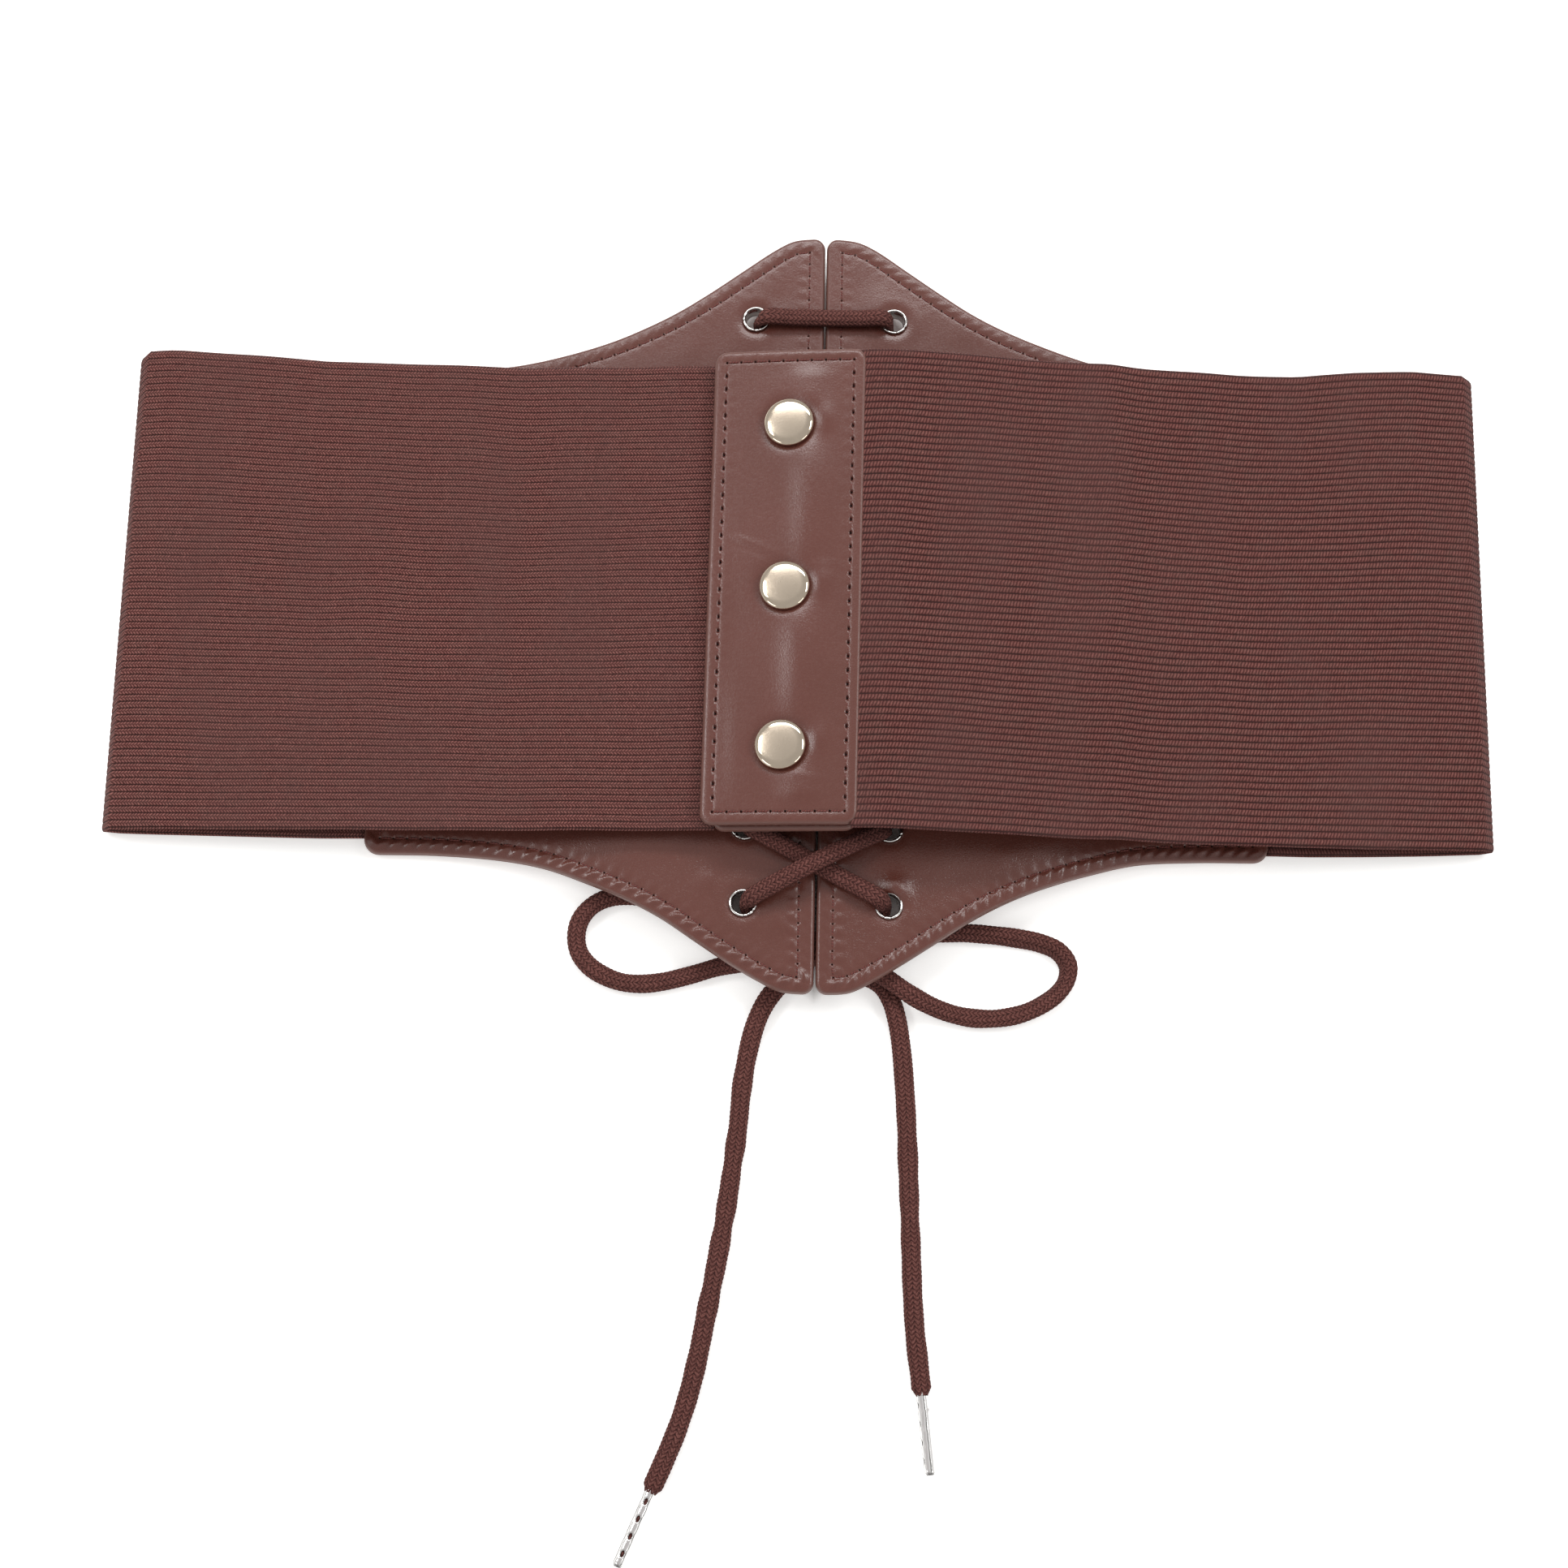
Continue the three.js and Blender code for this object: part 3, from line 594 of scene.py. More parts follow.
class Shape:
    """A mesh in the making, in millimetres, with two flat coordinates at each face's corners."""

    def __init__(self):
        self.points = []
        self.faces = []
        self.corners = []
        self.count = 0

    def add(self, points, faces, corners=None):
        """Adds faces, turned to face out of the closed shape that they make."""
        points = np.asarray(points, float)
        if corners is None:
            corners = [np.zeros((len(face), 2)) for face in faces]
        if enclosed(points, faces) < 0:
            faces = [face[::-1] for face in faces]
            corners = [corner[::-1] for corner in corners]
        self.faces += [[i + self.count for i in face] for face in faces]
        self.corners += list(corners)
        self.points.append(points)
        self.count += len(points)

    def tube(self, rings, around, along, closed=False):
        """Adds a tube through rings of points. Its flat coordinates are around and along."""
        rings = np.asarray(rings, float)
        n, m = rings.shape[:2]
        rows = n if closed else n - 1
        faces = []
        corners = []
        for i in range(rows):
            k = (i + 1) % n
            v0, v1 = along[i], along[i + 1]
            for j in range(m):
                l = (j + 1) % m
                faces.append((i * m + j, k * m + j, k * m + l, i * m + l))
                corners.append(((around[j], v0), (around[j], v1), (around[j + 1], v1),
                                (around[j + 1], v0)))
        if not closed:
            faces += [tuple(range(m)), tuple(range(n * m - 1, (n - 1) * m - 1, -1))]
            corners += [((0, 0),) * m] * 2
        self.add(rings.reshape(-1, 3), faces, corners)

    def piece(self, name, material, layer=None, masks=None):
        """The finished piece, in metres in the part's frame."""
        mesh = bpy.data.meshes.new(name)
        points = (np.vstack(self.points) + (GAP_X, 0, 0)) * MM
        points[:, 2] = np.maximum(points[:, 2], 0)  # flattened where it rests on the table
        mesh.from_pydata(points.tolist(), [], self.faces)
        if layer:
            flat = np.concatenate([np.ravel(corner) for corner in self.corners])
            mesh.uv_layers.new(name=layer).data.foreach_set("uv", flat)
        for mask, values in (masks or {}).items():
            mesh.attributes.new(mask, "FLOAT", "POINT").data.foreach_set("value", values)
        mesh.materials.append(material)
        mesh.shade_smooth()
        made = bpy.data.objects.new(name, mesh)
        bpy.context.scene.collection.objects.link(made)
        return made


def enclosed(points, faces):
    """Six times the volume inside faces that close a shape: below 0 if they face in."""
    fans = [(face[0], face[i], face[i + 1]) for face in faces for i in range(1, len(face) - 1)]
    a, b, c = (points[np.array(fans)[:, i]] for i in range(3))
    return float(np.einsum("ij,ij->", a, np.cross(b, c)))


def settle(piece, slot, *nodes):
    """Ties a finished piece to the belt's body, and hides the solids that it stands for."""
    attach(piece, BODY)
    if nodes:
        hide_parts(*nodes)
    return piece


def steps_along(points):
    """The distance along a line at each of its points."""
    lengths = np.linalg.norm(np.diff(points, axis=0), axis=1)
    return np.concatenate([[0], np.cumsum(lengths)])


def at_steps(points, places):
    """The points of a line at these distances along it."""
    along = steps_along(points)
    return np.stack([np.interp(places, along, axis) for axis in points.T], axis=1)


def even_steps(points, step):
    """A line at steps of about this length, which fit it exactly."""
    total = steps_along(points)[-1]
    return at_steps(points, np.linspace(0, total, max(2, round(total / step) + 1)))


def hermite(t, start, end, leave, arrive):
    """A curve from one point to another, with the ways in which it leaves and arrives."""
    return (
        (2 * t**3 - 3 * t**2 + 1) * start + (t**3 - 2 * t**2 + t) * leave
        + (3 * t**2 - 2 * t**3) * end + (t**3 - t**2) * arrive
    )


def curve_through(points, step):
    """A smooth curve through the points, at even steps."""
    known = np.asarray(points, float)
    padded = np.vstack([2 * known[0] - known[1], known, 2 * known[-1] - known[-2]])
    gaps = np.sqrt(np.linalg.norm(np.diff(padded, axis=0), axis=1))
    t = np.linspace(0, 1, 30, endpoint=False)[:, None]
    parts = []
    for i in range(1, len(padded) - 2):
        p0, p1, p2, p3 = padded[i - 1:i + 3]
        g0, g1, g2 = gaps[i - 1:i + 2]
        leave = g1 * ((p1 - p0) / g0 - (p2 - p0) / (g0 + g1) + (p2 - p1) / g1)
        arrive = g1 * ((p2 - p1) / g1 - (p3 - p1) / (g1 + g2) + (p3 - p2) / g2)
        parts.append(hermite(t, p1, p2, leave, arrive))
    return even_steps(np.vstack([*parts, known[-1:]]), step)


def blurred(values, reach):
    """Values smoothed along their first axis over this many steps."""
    offsets = np.arange(-2 * reach, 2 * reach + 1)
    weights = np.exp(-0.5 * (offsets / reach) ** 2)
    padded = np.pad(values, [(2 * reach, 2 * reach), (0, 0)], mode="edge")
    columns = [np.convolve(column, weights / weights.sum(), "valid") for column in padded.T]
    return np.stack(columns, axis=1)


def bell(values, middle, spread):
    """1 at the middle, falling off to 0 on both sides."""
    return np.exp(-(((values - middle) / spread) ** 2))


def ease(values, low, high):
    """A smooth step from 0 at low to 1 at high."""
    t = np.clip((values - low) / (high - low), 0, 1)
    return t * t * (3 - 2 * t)


def waves(points, length, seed):
    """Gentle swells between about -1 and 1 over places in the plane."""
    draw = np.random.default_rng(seed)
    total = np.zeros(len(points))
    for _ in range(6):
        angle, phase = draw.uniform(0, math.tau, 2)
        direction = np.array([math.cos(angle), math.sin(angle)])
        size = length * draw.uniform(0.7, 1.6)
        total += np.sin(points[:, :2] @ direction * math.tau / size + phase)
    return total / 3


# ---------------------------------------------------------------- lace

COLUMNS = 8  # columns of slanting strands round the braid
SLANT = 0.85  # how far a strand runs along the braid across half a column, in strands
BRAID_STEP = 0.25  # distance between two rings of the braid where it is seen close by
BRAID_SIDES = 48  # and how many sides a ring has there
NARROW_END = 2.0  # length over which a tail narrows into its tip
KNOT_SIDES = 36
WOVEN_STEP = 0.33
WOVEN_SIDES = 30


def lace_frames(path, smooth):
    """The lace's broad and thin directions at each point of its path."""
    tangents = np.gradient(path, axis=0)
    tangents /= np.linalg.norm(tangents, axis=1)[:, None]
    broad = []
    for tangent in tangents:
        level = np.cross((0, 0, 1), tangent)
        if broad and np.linalg.norm(level) < 0.35:
            level = broad[-1] - tangent * (broad[-1] @ tangent)
        elif broad and level @ broad[-1] < 0:
            level = -level
        broad.append(level / np.linalg.norm(level))
    broad = blurred(np.array(broad), smooth)
    broad -= tangents * np.sum(broad * tangents, axis=1)[:, None]
    broad /= np.linalg.norm(broad, axis=1)[:, None]
    return broad, np.cross(tangents, broad)


def add_braid(shape, path, step, sides, broad_scale, thin_scale, twist=0.0):
    """Adds a braided tube along the path. The scales and the twist may change along it."""
    size = sizes()
    count = len(path)
    pitch = size.braid_pitch / MM
    broad, thin = lace_frames(path, max(2, round(1.2 / step)))
    turn = np.broadcast_to(twist, count)[:, None]
    broad, thin = (
        broad * np.cos(turn) + thin * np.sin(turn), thin * np.cos(turn) - broad * np.sin(turn),
    )
    along = steps_along(path) / pitch
    angles = np.arange(sides) / sides * math.tau
    column = angles * COLUMNS / math.tau
    out = np.abs(column % 1 * 2 - 1)
    ridge = np.abs(np.sin(math.pi * (along[:, None] + out[None, :] ** 1.4 * SLANT)))
    relief = 0.24 * (ridge * (1 - 0.6 * ease(out, 0.6, 1.0)) - 0.6) - 0.05 * bell(out, 1, 0.3)
    half_broad = size.cord_width / MM / 2 * np.broadcast_to(broad_scale, count)[:, None]
    half_thin = size.cord_thickness / MM / 2 * np.broadcast_to(thin_scale, count)[:, None]
    top = angles + math.pi / 2
    sideways = (half_broad + relief) * np.cos(top)
    upright = (half_thin + relief) * np.sin(top)
    rings = (
        path[:, None] + sideways[:, :, None] * broad[:, None] + upright[:, :, None] * thin[:, None]
    )
    around = np.arange(sides + 1) / sides * COLUMNS
    shape.tube(rings, around, along)


def narrowing(path, least):
    """Scales that narrow a lace towards its end, down to the least."""
    along = steps_along(path)
    return least + (1 - least) * ease(along[-1] - along, 0, NARROW_END)


def settle_lace(shape, name, path, far_end, **more):
    """Ties a loop or a tail to the belt."""
    piece = settle(shape.piece(f"braid_{name}", lace(), "braid"), "lace", name)


def make_loop(name, points, twist, swell, seed):
    """One loop of the bow, which leaves the knot and goes back into it."""
    path = curve_through(points, BRAID_STEP)
    along = steps_along(path) / steps_along(path)[-1]
    uneven = 1 + 0.03 * waves(path, 9, seed)
    broad = (1 + swell * bell(along, 0.47, 0.12)) * uneven
    shape = Shape()
    add_braid(
        shape, path, BRAID_STEP, BRAID_SIDES, broad, uneven, twist * bell(along, 0.45, 0.18)
    )
    settle_lace(shape, name, path, "object")


def make_tail(name, points, aglet, seed):
    """A free end of the lace, which ends inside its metal tip."""
    path = curve_through(points, BRAID_STEP)
    uneven = 1 + 0.05 * waves(path, 8, seed)
    broad = 1.04 * narrowing(path, 0.6) * uneven
    shape = Shape()
    add_braid(shape, path, BRAID_STEP, BRAID_SIDES, broad, narrowing(path, 0.82))
    settle_lace(shape, name, path, "fitting", with_pieces=[aglet])


def make_knot():
    """The wrap of the bow: one turn of lace round the roots of the loops."""
    angle = np.linspace(-0.7 * math.pi, 1.55 * math.pi, 120)
    x, y, z = KNOT
    ring = np.stack(
        [x + 0.9 * angle / math.pi - 0.35, y + 2.85 * np.cos(angle), z + 1.5 * np.sin(angle)],
        axis=1,
    )
    across = [(-3.4, -81.2, 3.3), (-1.5, -82.4, 2.2), (1.5, -84.8, 2.2), (3.4, -86.0, 3.3)]
    shape = Shape()
    for path, thin in ((even_steps(ring, BRAID_STEP), 0.86),
                       (curve_through(across, BRAID_STEP), 0.9)):
        add_braid(shape, path, BRAID_STEP, KNOT_SIDES, 1.0, thin)
    settle(shape.piece("braid_knot", lace(), "braid"), "lace", "bow_knot")


def eyelet_rows():
    """Heights of the eyelets' rows, from the top."""
    return [EYELET["top"] - row * EYELET["pitch"] for row in range(EYELET["rows"])]


def lace_stops():
    """Middles of the eyelets in the order in which the lace runs through them."""
    rows = eyelet_rows()
    up = [(EYELET["from_gap"] * (-1 if row % 2 == 0 else 1), rows[row])
          for row in reversed(range(EYELET["rows"]))]
    down = [(-x, y) for x, y in reversed(up)]
    return [np.array(stop) for stop in up + down]


def lace_points():
    """The route of the lace from the knot through all the eyelets and back."""
    stops = lace_stops()
    knot = np.array(KNOT[:2])
    top_bar = EYELET["rows"] - 1
    points = []

    def put(start, towards, distance, z):
        """Adds a point at this distance from the start."""
        way = (towards - start) / np.linalg.norm(towards - start)
        points.append((*(start + way * distance), z))

    put(knot, stops[0], KNOT_REACH, KNOT_EXIT)
    for i, eyelet in enumerate(stops):
        before = stops[i - 1] if i else knot
        after = stops[i + 1] if i + 1 < len(stops) else knot
        arrive, leave = (INNER, OUTER) if i % 2 else (OUTER, INNER)
        centre = np.array([0, eyelet[1]])
        put(eyelet, before, SHOULDER, arrive["shoulder"])
        put(eyelet, before, BEND, arrive["bend"])
        for z in HOLE_HEIGHTS[::-1] if i % 2 else HOLE_HEIGHTS:
            put(eyelet, centre, IN_HOLE, z)
        put(eyelet, after, BEND, leave["bend"])
        put(eyelet, after, SHOULDER, leave["shoulder"])
        if i + 1 < len(stops):
            middle = (eyelet + after) / 2
            z = leave["crossing"] if i < top_bar else leave["resting"]
            half = TOP_BAR_HALF if i == top_bar else CROSSING_HALF
            put(middle, eyelet, half, z)
            put(middle, after, half, z)
    put(knot, stops[-1], KNOT_REACH, KNOT_EXIT)
    return points


def make_woven_lace():
    """The lace through all eyelets."""
    path = blurred(curve_through(lace_points(), WOVEN_STEP), 2)
    in_hole = bell(path[:, 2], 8.0, 2.6)
    beside = bell(np.abs(path[:, 0]), EYELET["from_gap"], 2.6)
    squeeze = in_hole * beside
    shape = Shape()
    add_braid(shape, path, WOVEN_STEP, WOVEN_SIDES, 1 - 0.08 * squeeze, 1 - 0.34 * squeeze)
    settle(shape.piece("braid_woven", lace(), "braid"), "lace", "lace_woven")


# ---------------------------------------------------------------- sheets with an outline


class Outline:
    """A closed line of points in the plane, counterclockwise."""

    def __init__(self, points):
        self.points = np.asarray(points, float)
        self.after = np.roll(self.points, -1, axis=0)
        lengths = np.linalg.norm(self.after - self.points, axis=1)
        self.starts = np.concatenate([[0], np.cumsum(lengths)[:-1]])
        self.lengths = lengths
        self.total = float(lengths.sum())
        ways = np.roll(self.points, -1, axis=0) - np.roll(self.points, 1, axis=0)
        ways /= np.linalg.norm(ways, axis=1)[:, None]
        self.inward = np.stack([-ways[:, 1], ways[:, 0]], axis=1)

    def nearest(self, places):
        """How far each place is from the line, and how far along it the nearest point is."""
        distances = []
        alongs = []
        edges = self.after - self.points
        squares = np.maximum(self.lengths**2, 1e-12)
        for chunk in np.array_split(np.asarray(places, float), max(1, len(places) // 1500)):
            offset = chunk[:, None] - self.points[None]
            share = np.clip(np.sum(offset * edges[None], axis=2) / squares, 0, 1)
            gap = np.linalg.norm(offset - share[:, :, None] * edges[None], axis=2)
            nearest = gap.argmin(axis=1)
            rows = np.arange(len(chunk))
            distances.append(gap[rows, nearest])
            alongs.append(self.starts[nearest] + share[rows, nearest] * self.lengths[nearest])
        return np.concatenate(distances), np.concatenate(alongs)

    def inset(self, depth):
        """The outline moved inwards, without what would lie too near another stretch of it."""
        moved = self.points + self.inward * depth
        kept = self.nearest(moved)[0] > depth - 0.02
        return moved[kept]


def disc(centre, radius, count, turn=0.0):
    """The points of a circle, counterclockwise."""
    angles = np.arange(count) / count * math.tau + turn
    return np.array(centre) + radius * np.stack([np.cos(angles), np.sin(angles)], axis=1)


def grid_inside(outline, pitch, depth):
    """Places in even rows, further than depth inside the outline."""
    low = outline.points.min(axis=0)
    high = outline.points.max(axis=0)
    rows = np.arange(low[1], high[1], pitch * 0.866)
    columns = np.arange(low[0], high[0], pitch)
    places = np.array([(x + (i % 2) * pitch / 2, y) for i, y in enumerate(rows) for x in columns])
    distance = outline.nearest(places)[0]
    return places[(distance > depth) & inside(outline.points, places)]


def inside(loop, places):
    """Which places are inside a closed line."""
    a, b = loop, np.roll(loop, -1, axis=0)
    found = np.zeros(len(places), bool)
    for (x0, y0), (x1, y1) in zip(a, b):
        if y0 == y1:
            continue
        spans = (y0 > places[:, 1]) != (y1 > places[:, 1])
        found ^= spans & (places[:, 0] < (x1 - x0) * (places[:, 1] - y0) / (y1 - y0) + x0)
    return found


def nearest_of(places, centres):
    """How far the nearest of some centres is from each place."""
    return np.min([np.linalg.norm(places - centre, axis=1) for centre in centres], axis=0)


def spread(places, apart):
    """Places without those that are nearly on top of an earlier one."""
    seen = set()
    kept = []
    for x, y in places:
        key = (round(x / apart), round(y / apart))
        if key not in seen:
            seen.add(key)
            kept.append((x, y))
    return np.array(kept)


def triangles(loops, places):
    """Triangles inside the first loop and outside the others, over all the points."""
    flat = np.vstack([*loops, places])
    edges = []
    start = 0
    for loop in loops:
        n = len(loop)
        edges += [(start + i, start + (i + 1) % n) for i in range(n)]
        start += n
    found = delaunay_2d_cdt([Vector(p) for p in flat.tolist()], edges, [], 1, 1e-5)
    origin = [came_from[0] if came_from else -1 for came_from in found[3]]
    faces = np.array([[origin[i] for i in face] for face in found[2]])
    faces = faces[(faces >= 0).all(axis=1)]
    for hole in loops[1:]:
        faces = faces[~inside(hole, flat[faces].mean(axis=1))]
    return flat, faces


def add_slab(shape, loops, places, over, under, wall, place):
    """Adds a sheet of the outline's shape.

    over and under give the height of its two faces at flat points, wall lists rows of the side
    wall as a share of the thickness and an inset, and place turns points into the belt's frame.
    """
    flat, faces = triangles(loops, places)
    count = len(flat)
    top = np.column_stack([flat, over])
    bottom = np.column_stack([flat, under])
    points = [top, bottom]
    made = [*faces.tolist(), *(faces[:, ::-1] + count).tolist()]
    total = 2 * count
    start = 0
    for loop in loops:
        n = len(loop)
        ring = Outline(loop)
        rows = [np.arange(start, start + n)]
        for share, inset in wall:
            edge = loop + ring.inward * inset * (1 if loop is loops[0] else -1)
            height = over[start:start + n] * (1 - share) + under[start:start + n] * share
            points.append(np.column_stack([edge, height]))
            rows.append(np.arange(total, total + n))
            total += n
        rows.append(np.arange(start + count, start + count + n))
        for upper, lower in zip(rows, rows[1:]):
            for i in range(n):
                k = (i + 1) % n
                made.append((upper[i], lower[i], lower[k], upper[k]))
        start += n
    shape.add(place(np.vstack(points)), made)


# Distances from the edge of the rows of points along it.
RIM_DEPTHS = (0.08, 0.24, 0.5, 0.85, 1.3, 1.75, 2.2, 2.6, 3.0, 3.36, 3.71, 4.06, 4.5, 5.0,
              5.7, 7.0)
EDGE_RADIUS = 0.75
APART = 0.12  # least distance between two points of a sheet
# The side of two leathers sewn together: shares of the thickness, and how far it is drawn in.
WALL = ((0.28, -0.10), (0.44, -0.06), (0.50, 0.20), (0.56, -0.06), (0.72, -0.10))


def rounded_edge(depth):
    """How far the face drops towards the edge of the leather."""
    inwards = np.clip(EDGE_RADIUS - depth, 0, EDGE_RADIUS)
    return EDGE_RADIUS - np.sqrt(EDGE_RADIUS**2 - inwards**2)


class Seam:
    """A closed line of stitches inside an outline, with a hole at each of its corners."""

    def __init__(self, outline, inset, pitch, hole, dash=1.0):
        self.inset = inset / MM
        pitch = pitch / MM
        line = outline.inset(self.inset)
        ahead = np.roll(line, -2, axis=0) - line
        behind = line - np.roll(line, 2, axis=0)
        straight = np.sum(ahead * behind, axis=1) / np.linalg.norm(ahead, axis=1)
        straight /= np.linalg.norm(behind, axis=1)
        reach = range(-5, 6)
        least = np.min([np.roll(straight, k) for k in reach], axis=0)
        corners = np.flatnonzero((straight < 0.85) & (straight <= least))
        self.line = Outline(np.roll(line, -corners[0], axis=0))
        marks = [*self.line.starts[(corners - corners[0]) % len(line)], self.line.total]
        marks = [mark for mark, before in zip(marks, [-9.0, *marks]) if mark - before > 1]
        parts = [
            np.linspace(a, b, max(2, round((b - a) / pitch)), endpoint=False)
            for a, b in zip(marks, marks[1:])
        ]
        self.marks = np.append(np.concatenate(parts), self.line.total)
        closed = np.vstack([self.line.points, self.line.points[:1]])
        self.holes = at_steps(closed, self.marks[:-1])
        after = at_steps(closed, np.minimum(self.marks[:-1] + 0.8, self.line.total))
        before = at_steps(closed, np.maximum(self.marks[:-1] - 0.8, 0))
        self.ways = (after - before) / np.linalg.norm(after - before, axis=1)[:, None]
        self.hole = hole
        self.upright = np.abs(self.ways[:, 1]) > 0.95
        self.dashes = np.where(self.upright, dash, 1.0)

    def hole_points(self):
        """Points at the middle of each hole and in rings round it."""
        found = []
        for hole, way, dash in zip(self.holes, self.ways, self.dashes):
            aside = np.array([-way[1], way[0]])
            found.append(hole)
            for radius, count in ((0.55, 8), (1.0, 10), (1.6, 10)):
                ring = disc((0, 0), radius * self.hole, count)
                reach = dash if radius < 1.5 else (dash + 0.6) / 1.6
                found += list(hole + ring[:, :1] * way * reach + ring[:, 1:] * aside)
        return np.array(found)

    def clear(self, places):
        """Which places are far enough from the holes."""
        return self.nearest_hole(places) > 1.9

    def nearest_hole(self, places):
        """How far the nearest hole's middle is, in radii of the hole."""
        nearest = np.full(len(places), 99.0)
        for hole, way, dash in zip(self.holes, self.ways, self.dashes):
            offset = places - hole
            along = offset @ way / dash
            across = offset @ np.array([-way[1], way[0]])
            nearest = np.minimum(nearest, np.hypot(along, across) / self.hole)
        return nearest

    def hole_depth(self, places):
        """1 at the bottom of a hole, and 0 outside."""
        return 1 - ease(self.nearest_hole(places), 0.7, 1.25)

    def relief(self, places, depth, pucker):
        """The height of the leather round the stitches: the dented line and the puckers."""
        distance, along = self.line.nearest(places)
        outside = depth < self.inset
        phase = np.interp(along, self.marks, np.arange(len(self.marks)))
        phase = phase + np.where(outside, 0.20 * (self.inset - depth), 0)
        gather = 0.5 - 0.5 * np.cos(phase * math.tau)
        upright = self.upright[np.floor(phase).astype(int) % len(self.upright)]
        swell = np.where(outside != upright, 1.0, 0.3) * np.where(upright, 0.6, 1.0)
        swell *= bell(distance, 1.35, 0.95)
        groove = -0.09 * bell(distance, 0, 0.34) * (0.4 + 0.6 * gather)
        return pucker * gather * swell + groove


# One stitch: shares of its length, and heights above the leather.
STITCH = np.array([
    (0.05, -0.6), (0.12, -0.15), (0.25, 0.08), (0.5, 0.16), (0.75, 0.08), (0.88, -0.15),
    (0.95, -0.6),
])
THREAD_SIDES = 6


def add_stitches(shape, seam, height, place, sinks, side=1):
    """Adds the thread of a seam, which goes down at every hole.

    sinks says how deep the thread lies along the belt and across it.
    """
    radius = sizes().thread / MM / 2
    around = np.arange(THREAD_SIDES + 1) / THREAD_SIDES
    angles = np.arange(THREAD_SIDES) / THREAD_SIDES * math.tau
    for i, start in enumerate(seam.holes):
        end = seam.holes[(i + 1) % len(seam.holes)]
        way = end - start
        length = np.linalg.norm(way)
        aside = np.array([-way[1], way[0]]) / length
        middles = start + STITCH[:, :1] * way
        sink = sinks[int(abs(way[1]) > 0.95 * length)]
        heights = height(middles) + side * (STITCH[:, 1] - sink)
        rings = (
            np.column_stack([middles, heights])[:, None]
            + radius * np.cos(angles)[None, :, None] * np.append(aside, 0)
            + radius * np.sin(angles)[None, :, None] * UP
        )
        along = STITCH[:, 0] * length + i * 0.37
        shape.tube(place(rings.reshape(-1, 3)).reshape(rings.shape), around, along)


def with_wall(masks, total):
    """The masks of a slab's points: both faces and the wall, which is all rim."""
    return {
        name: np.concatenate([mask, mask, np.full(total - 2 * len(mask), float(name == "rim"))])
        for name, mask in masks.items()
    }


def sew(name, outline, seam, holes, rims, inner, middle, face, place, hole_depth, sinks, alike):
    """Makes a sheet of leather with holes, and the thread of its seam on both of its faces.

    rims is how many rows of points follow its edge, and inner gives the others. middle gives the
    height of the sheet's middle at flat points, and face how far its upper (1) or under (-1) face
    stands above that, with the leather's masks. alike is for faces that mirror each other.
    """
    rows = np.vstack([outline.inset(depth) for depth in RIM_DEPTHS[:rims]])
    places = spread(np.vstack([seam.hole_points(), rows[seam.clear(rows)], inner]), APART)
    loops = [outline.points, *holes]
    flat = np.vstack([*loops, places])
    over, masks = face(flat, 1)
    under = over if alike else face(flat, -1)[0]
    drop = hole_depth * masks["hollow"]
    level = middle(flat)
    shape = Shape()
    add_slab(shape, loops, places, level + (over - drop), level - (under - drop), WALL, place)
    sheet = shape.piece(f"leather_{name}", leather(), masks=with_wall(masks, shape.count))
    settle(sheet, "leather", name)
    threads = Shape()
    for side in (1, -1):
        add_stitches(
            threads, seam, lambda points: middle(points) + side * face(points, side)[0], place,
            sinks, side,
        )
    settle(threads.piece(f"seam_{name}", thread(), "twist"), "leather")


# ---------------------------------------------------------------- panels


def bezier(points, count):
    """A curve from the first point to the last, led by the two between."""
    t = np.linspace(0, 1, count)[:, None]
    p0, p1, p2, p3 = (np.array(p, float) for p in points)
    return (1 - t) ** 3 * p0 + 3 * (1 - t) ** 2 * t * p1 + 3 * (1 - t) * t**2 * p2 + t**3 * p3


def arc(centre, radius, start, end, count):
    """Part of a circle between two angles in degrees."""
    angles = np.radians(np.linspace(start, end, count))
    return np.array(centre) + radius * np.stack([np.cos(angles), np.sin(angles)], axis=1)


def spline(points):
    """A smooth line through points in the plane."""
    known = np.asarray(points, float)
    padded = np.vstack([known[:1], known, known[-1:]])
    t = np.linspace(0, 1, 24)[:, None]
    parts = []
    for i in range(1, len(padded) - 2):
        p0, p1, p2, p3 = padded[i - 1:i + 3]
        parts.append(hermite(t, p1, p2, (p2 - p0) / 2, (p3 - p1) / 2))
    return np.vstack(parts)


def panel_outline(side):
    """A panel's outline, counterclockwise, at even steps."""
    edges = PANEL_EDGES[side]
    near = LEATHER_GAP / 2
    far = PANEL["gap"] / 2 + PANEL["width"]
    peak_x = near + PEAK_RADIUS
    peak_y = PANEL["peak"] - PEAK_RADIUS
    end_x, end_high, end_low = edges[-1]
    end_radius = far - end_x
    upper = spline([(peak_x, PANEL["peak"]), *[(x, high) for x, high, _ in edges]])
    lower = spline([(peak_x, -PANEL["peak"]), *[(x, -low) for x, _, low in edges]])
    line = np.vstack([
        [(near, peak_y)], [(near, -peak_y)],
        arc((peak_x, -peak_y), PEAK_RADIUS, 180, 270, 9), lower,
        arc((end_x, end_radius - end_low), end_radius, -90, 0, 9),
        arc((end_x, end_high - end_radius), end_radius, 0, 90, 9), upper[::-1],
        arc((peak_x, peak_y), PEAK_RADIUS, 90, 180, 9),
    ])
    line = line[np.append(True, np.linalg.norm(np.diff(line, axis=0), axis=1) > 1e-6)]
    line = even_steps(np.vstack([line, line[:1]]), 0.6)[:-1]
    if side == "left":
        line = (line * (-1, 1))[::-1]
    return Outline(line)


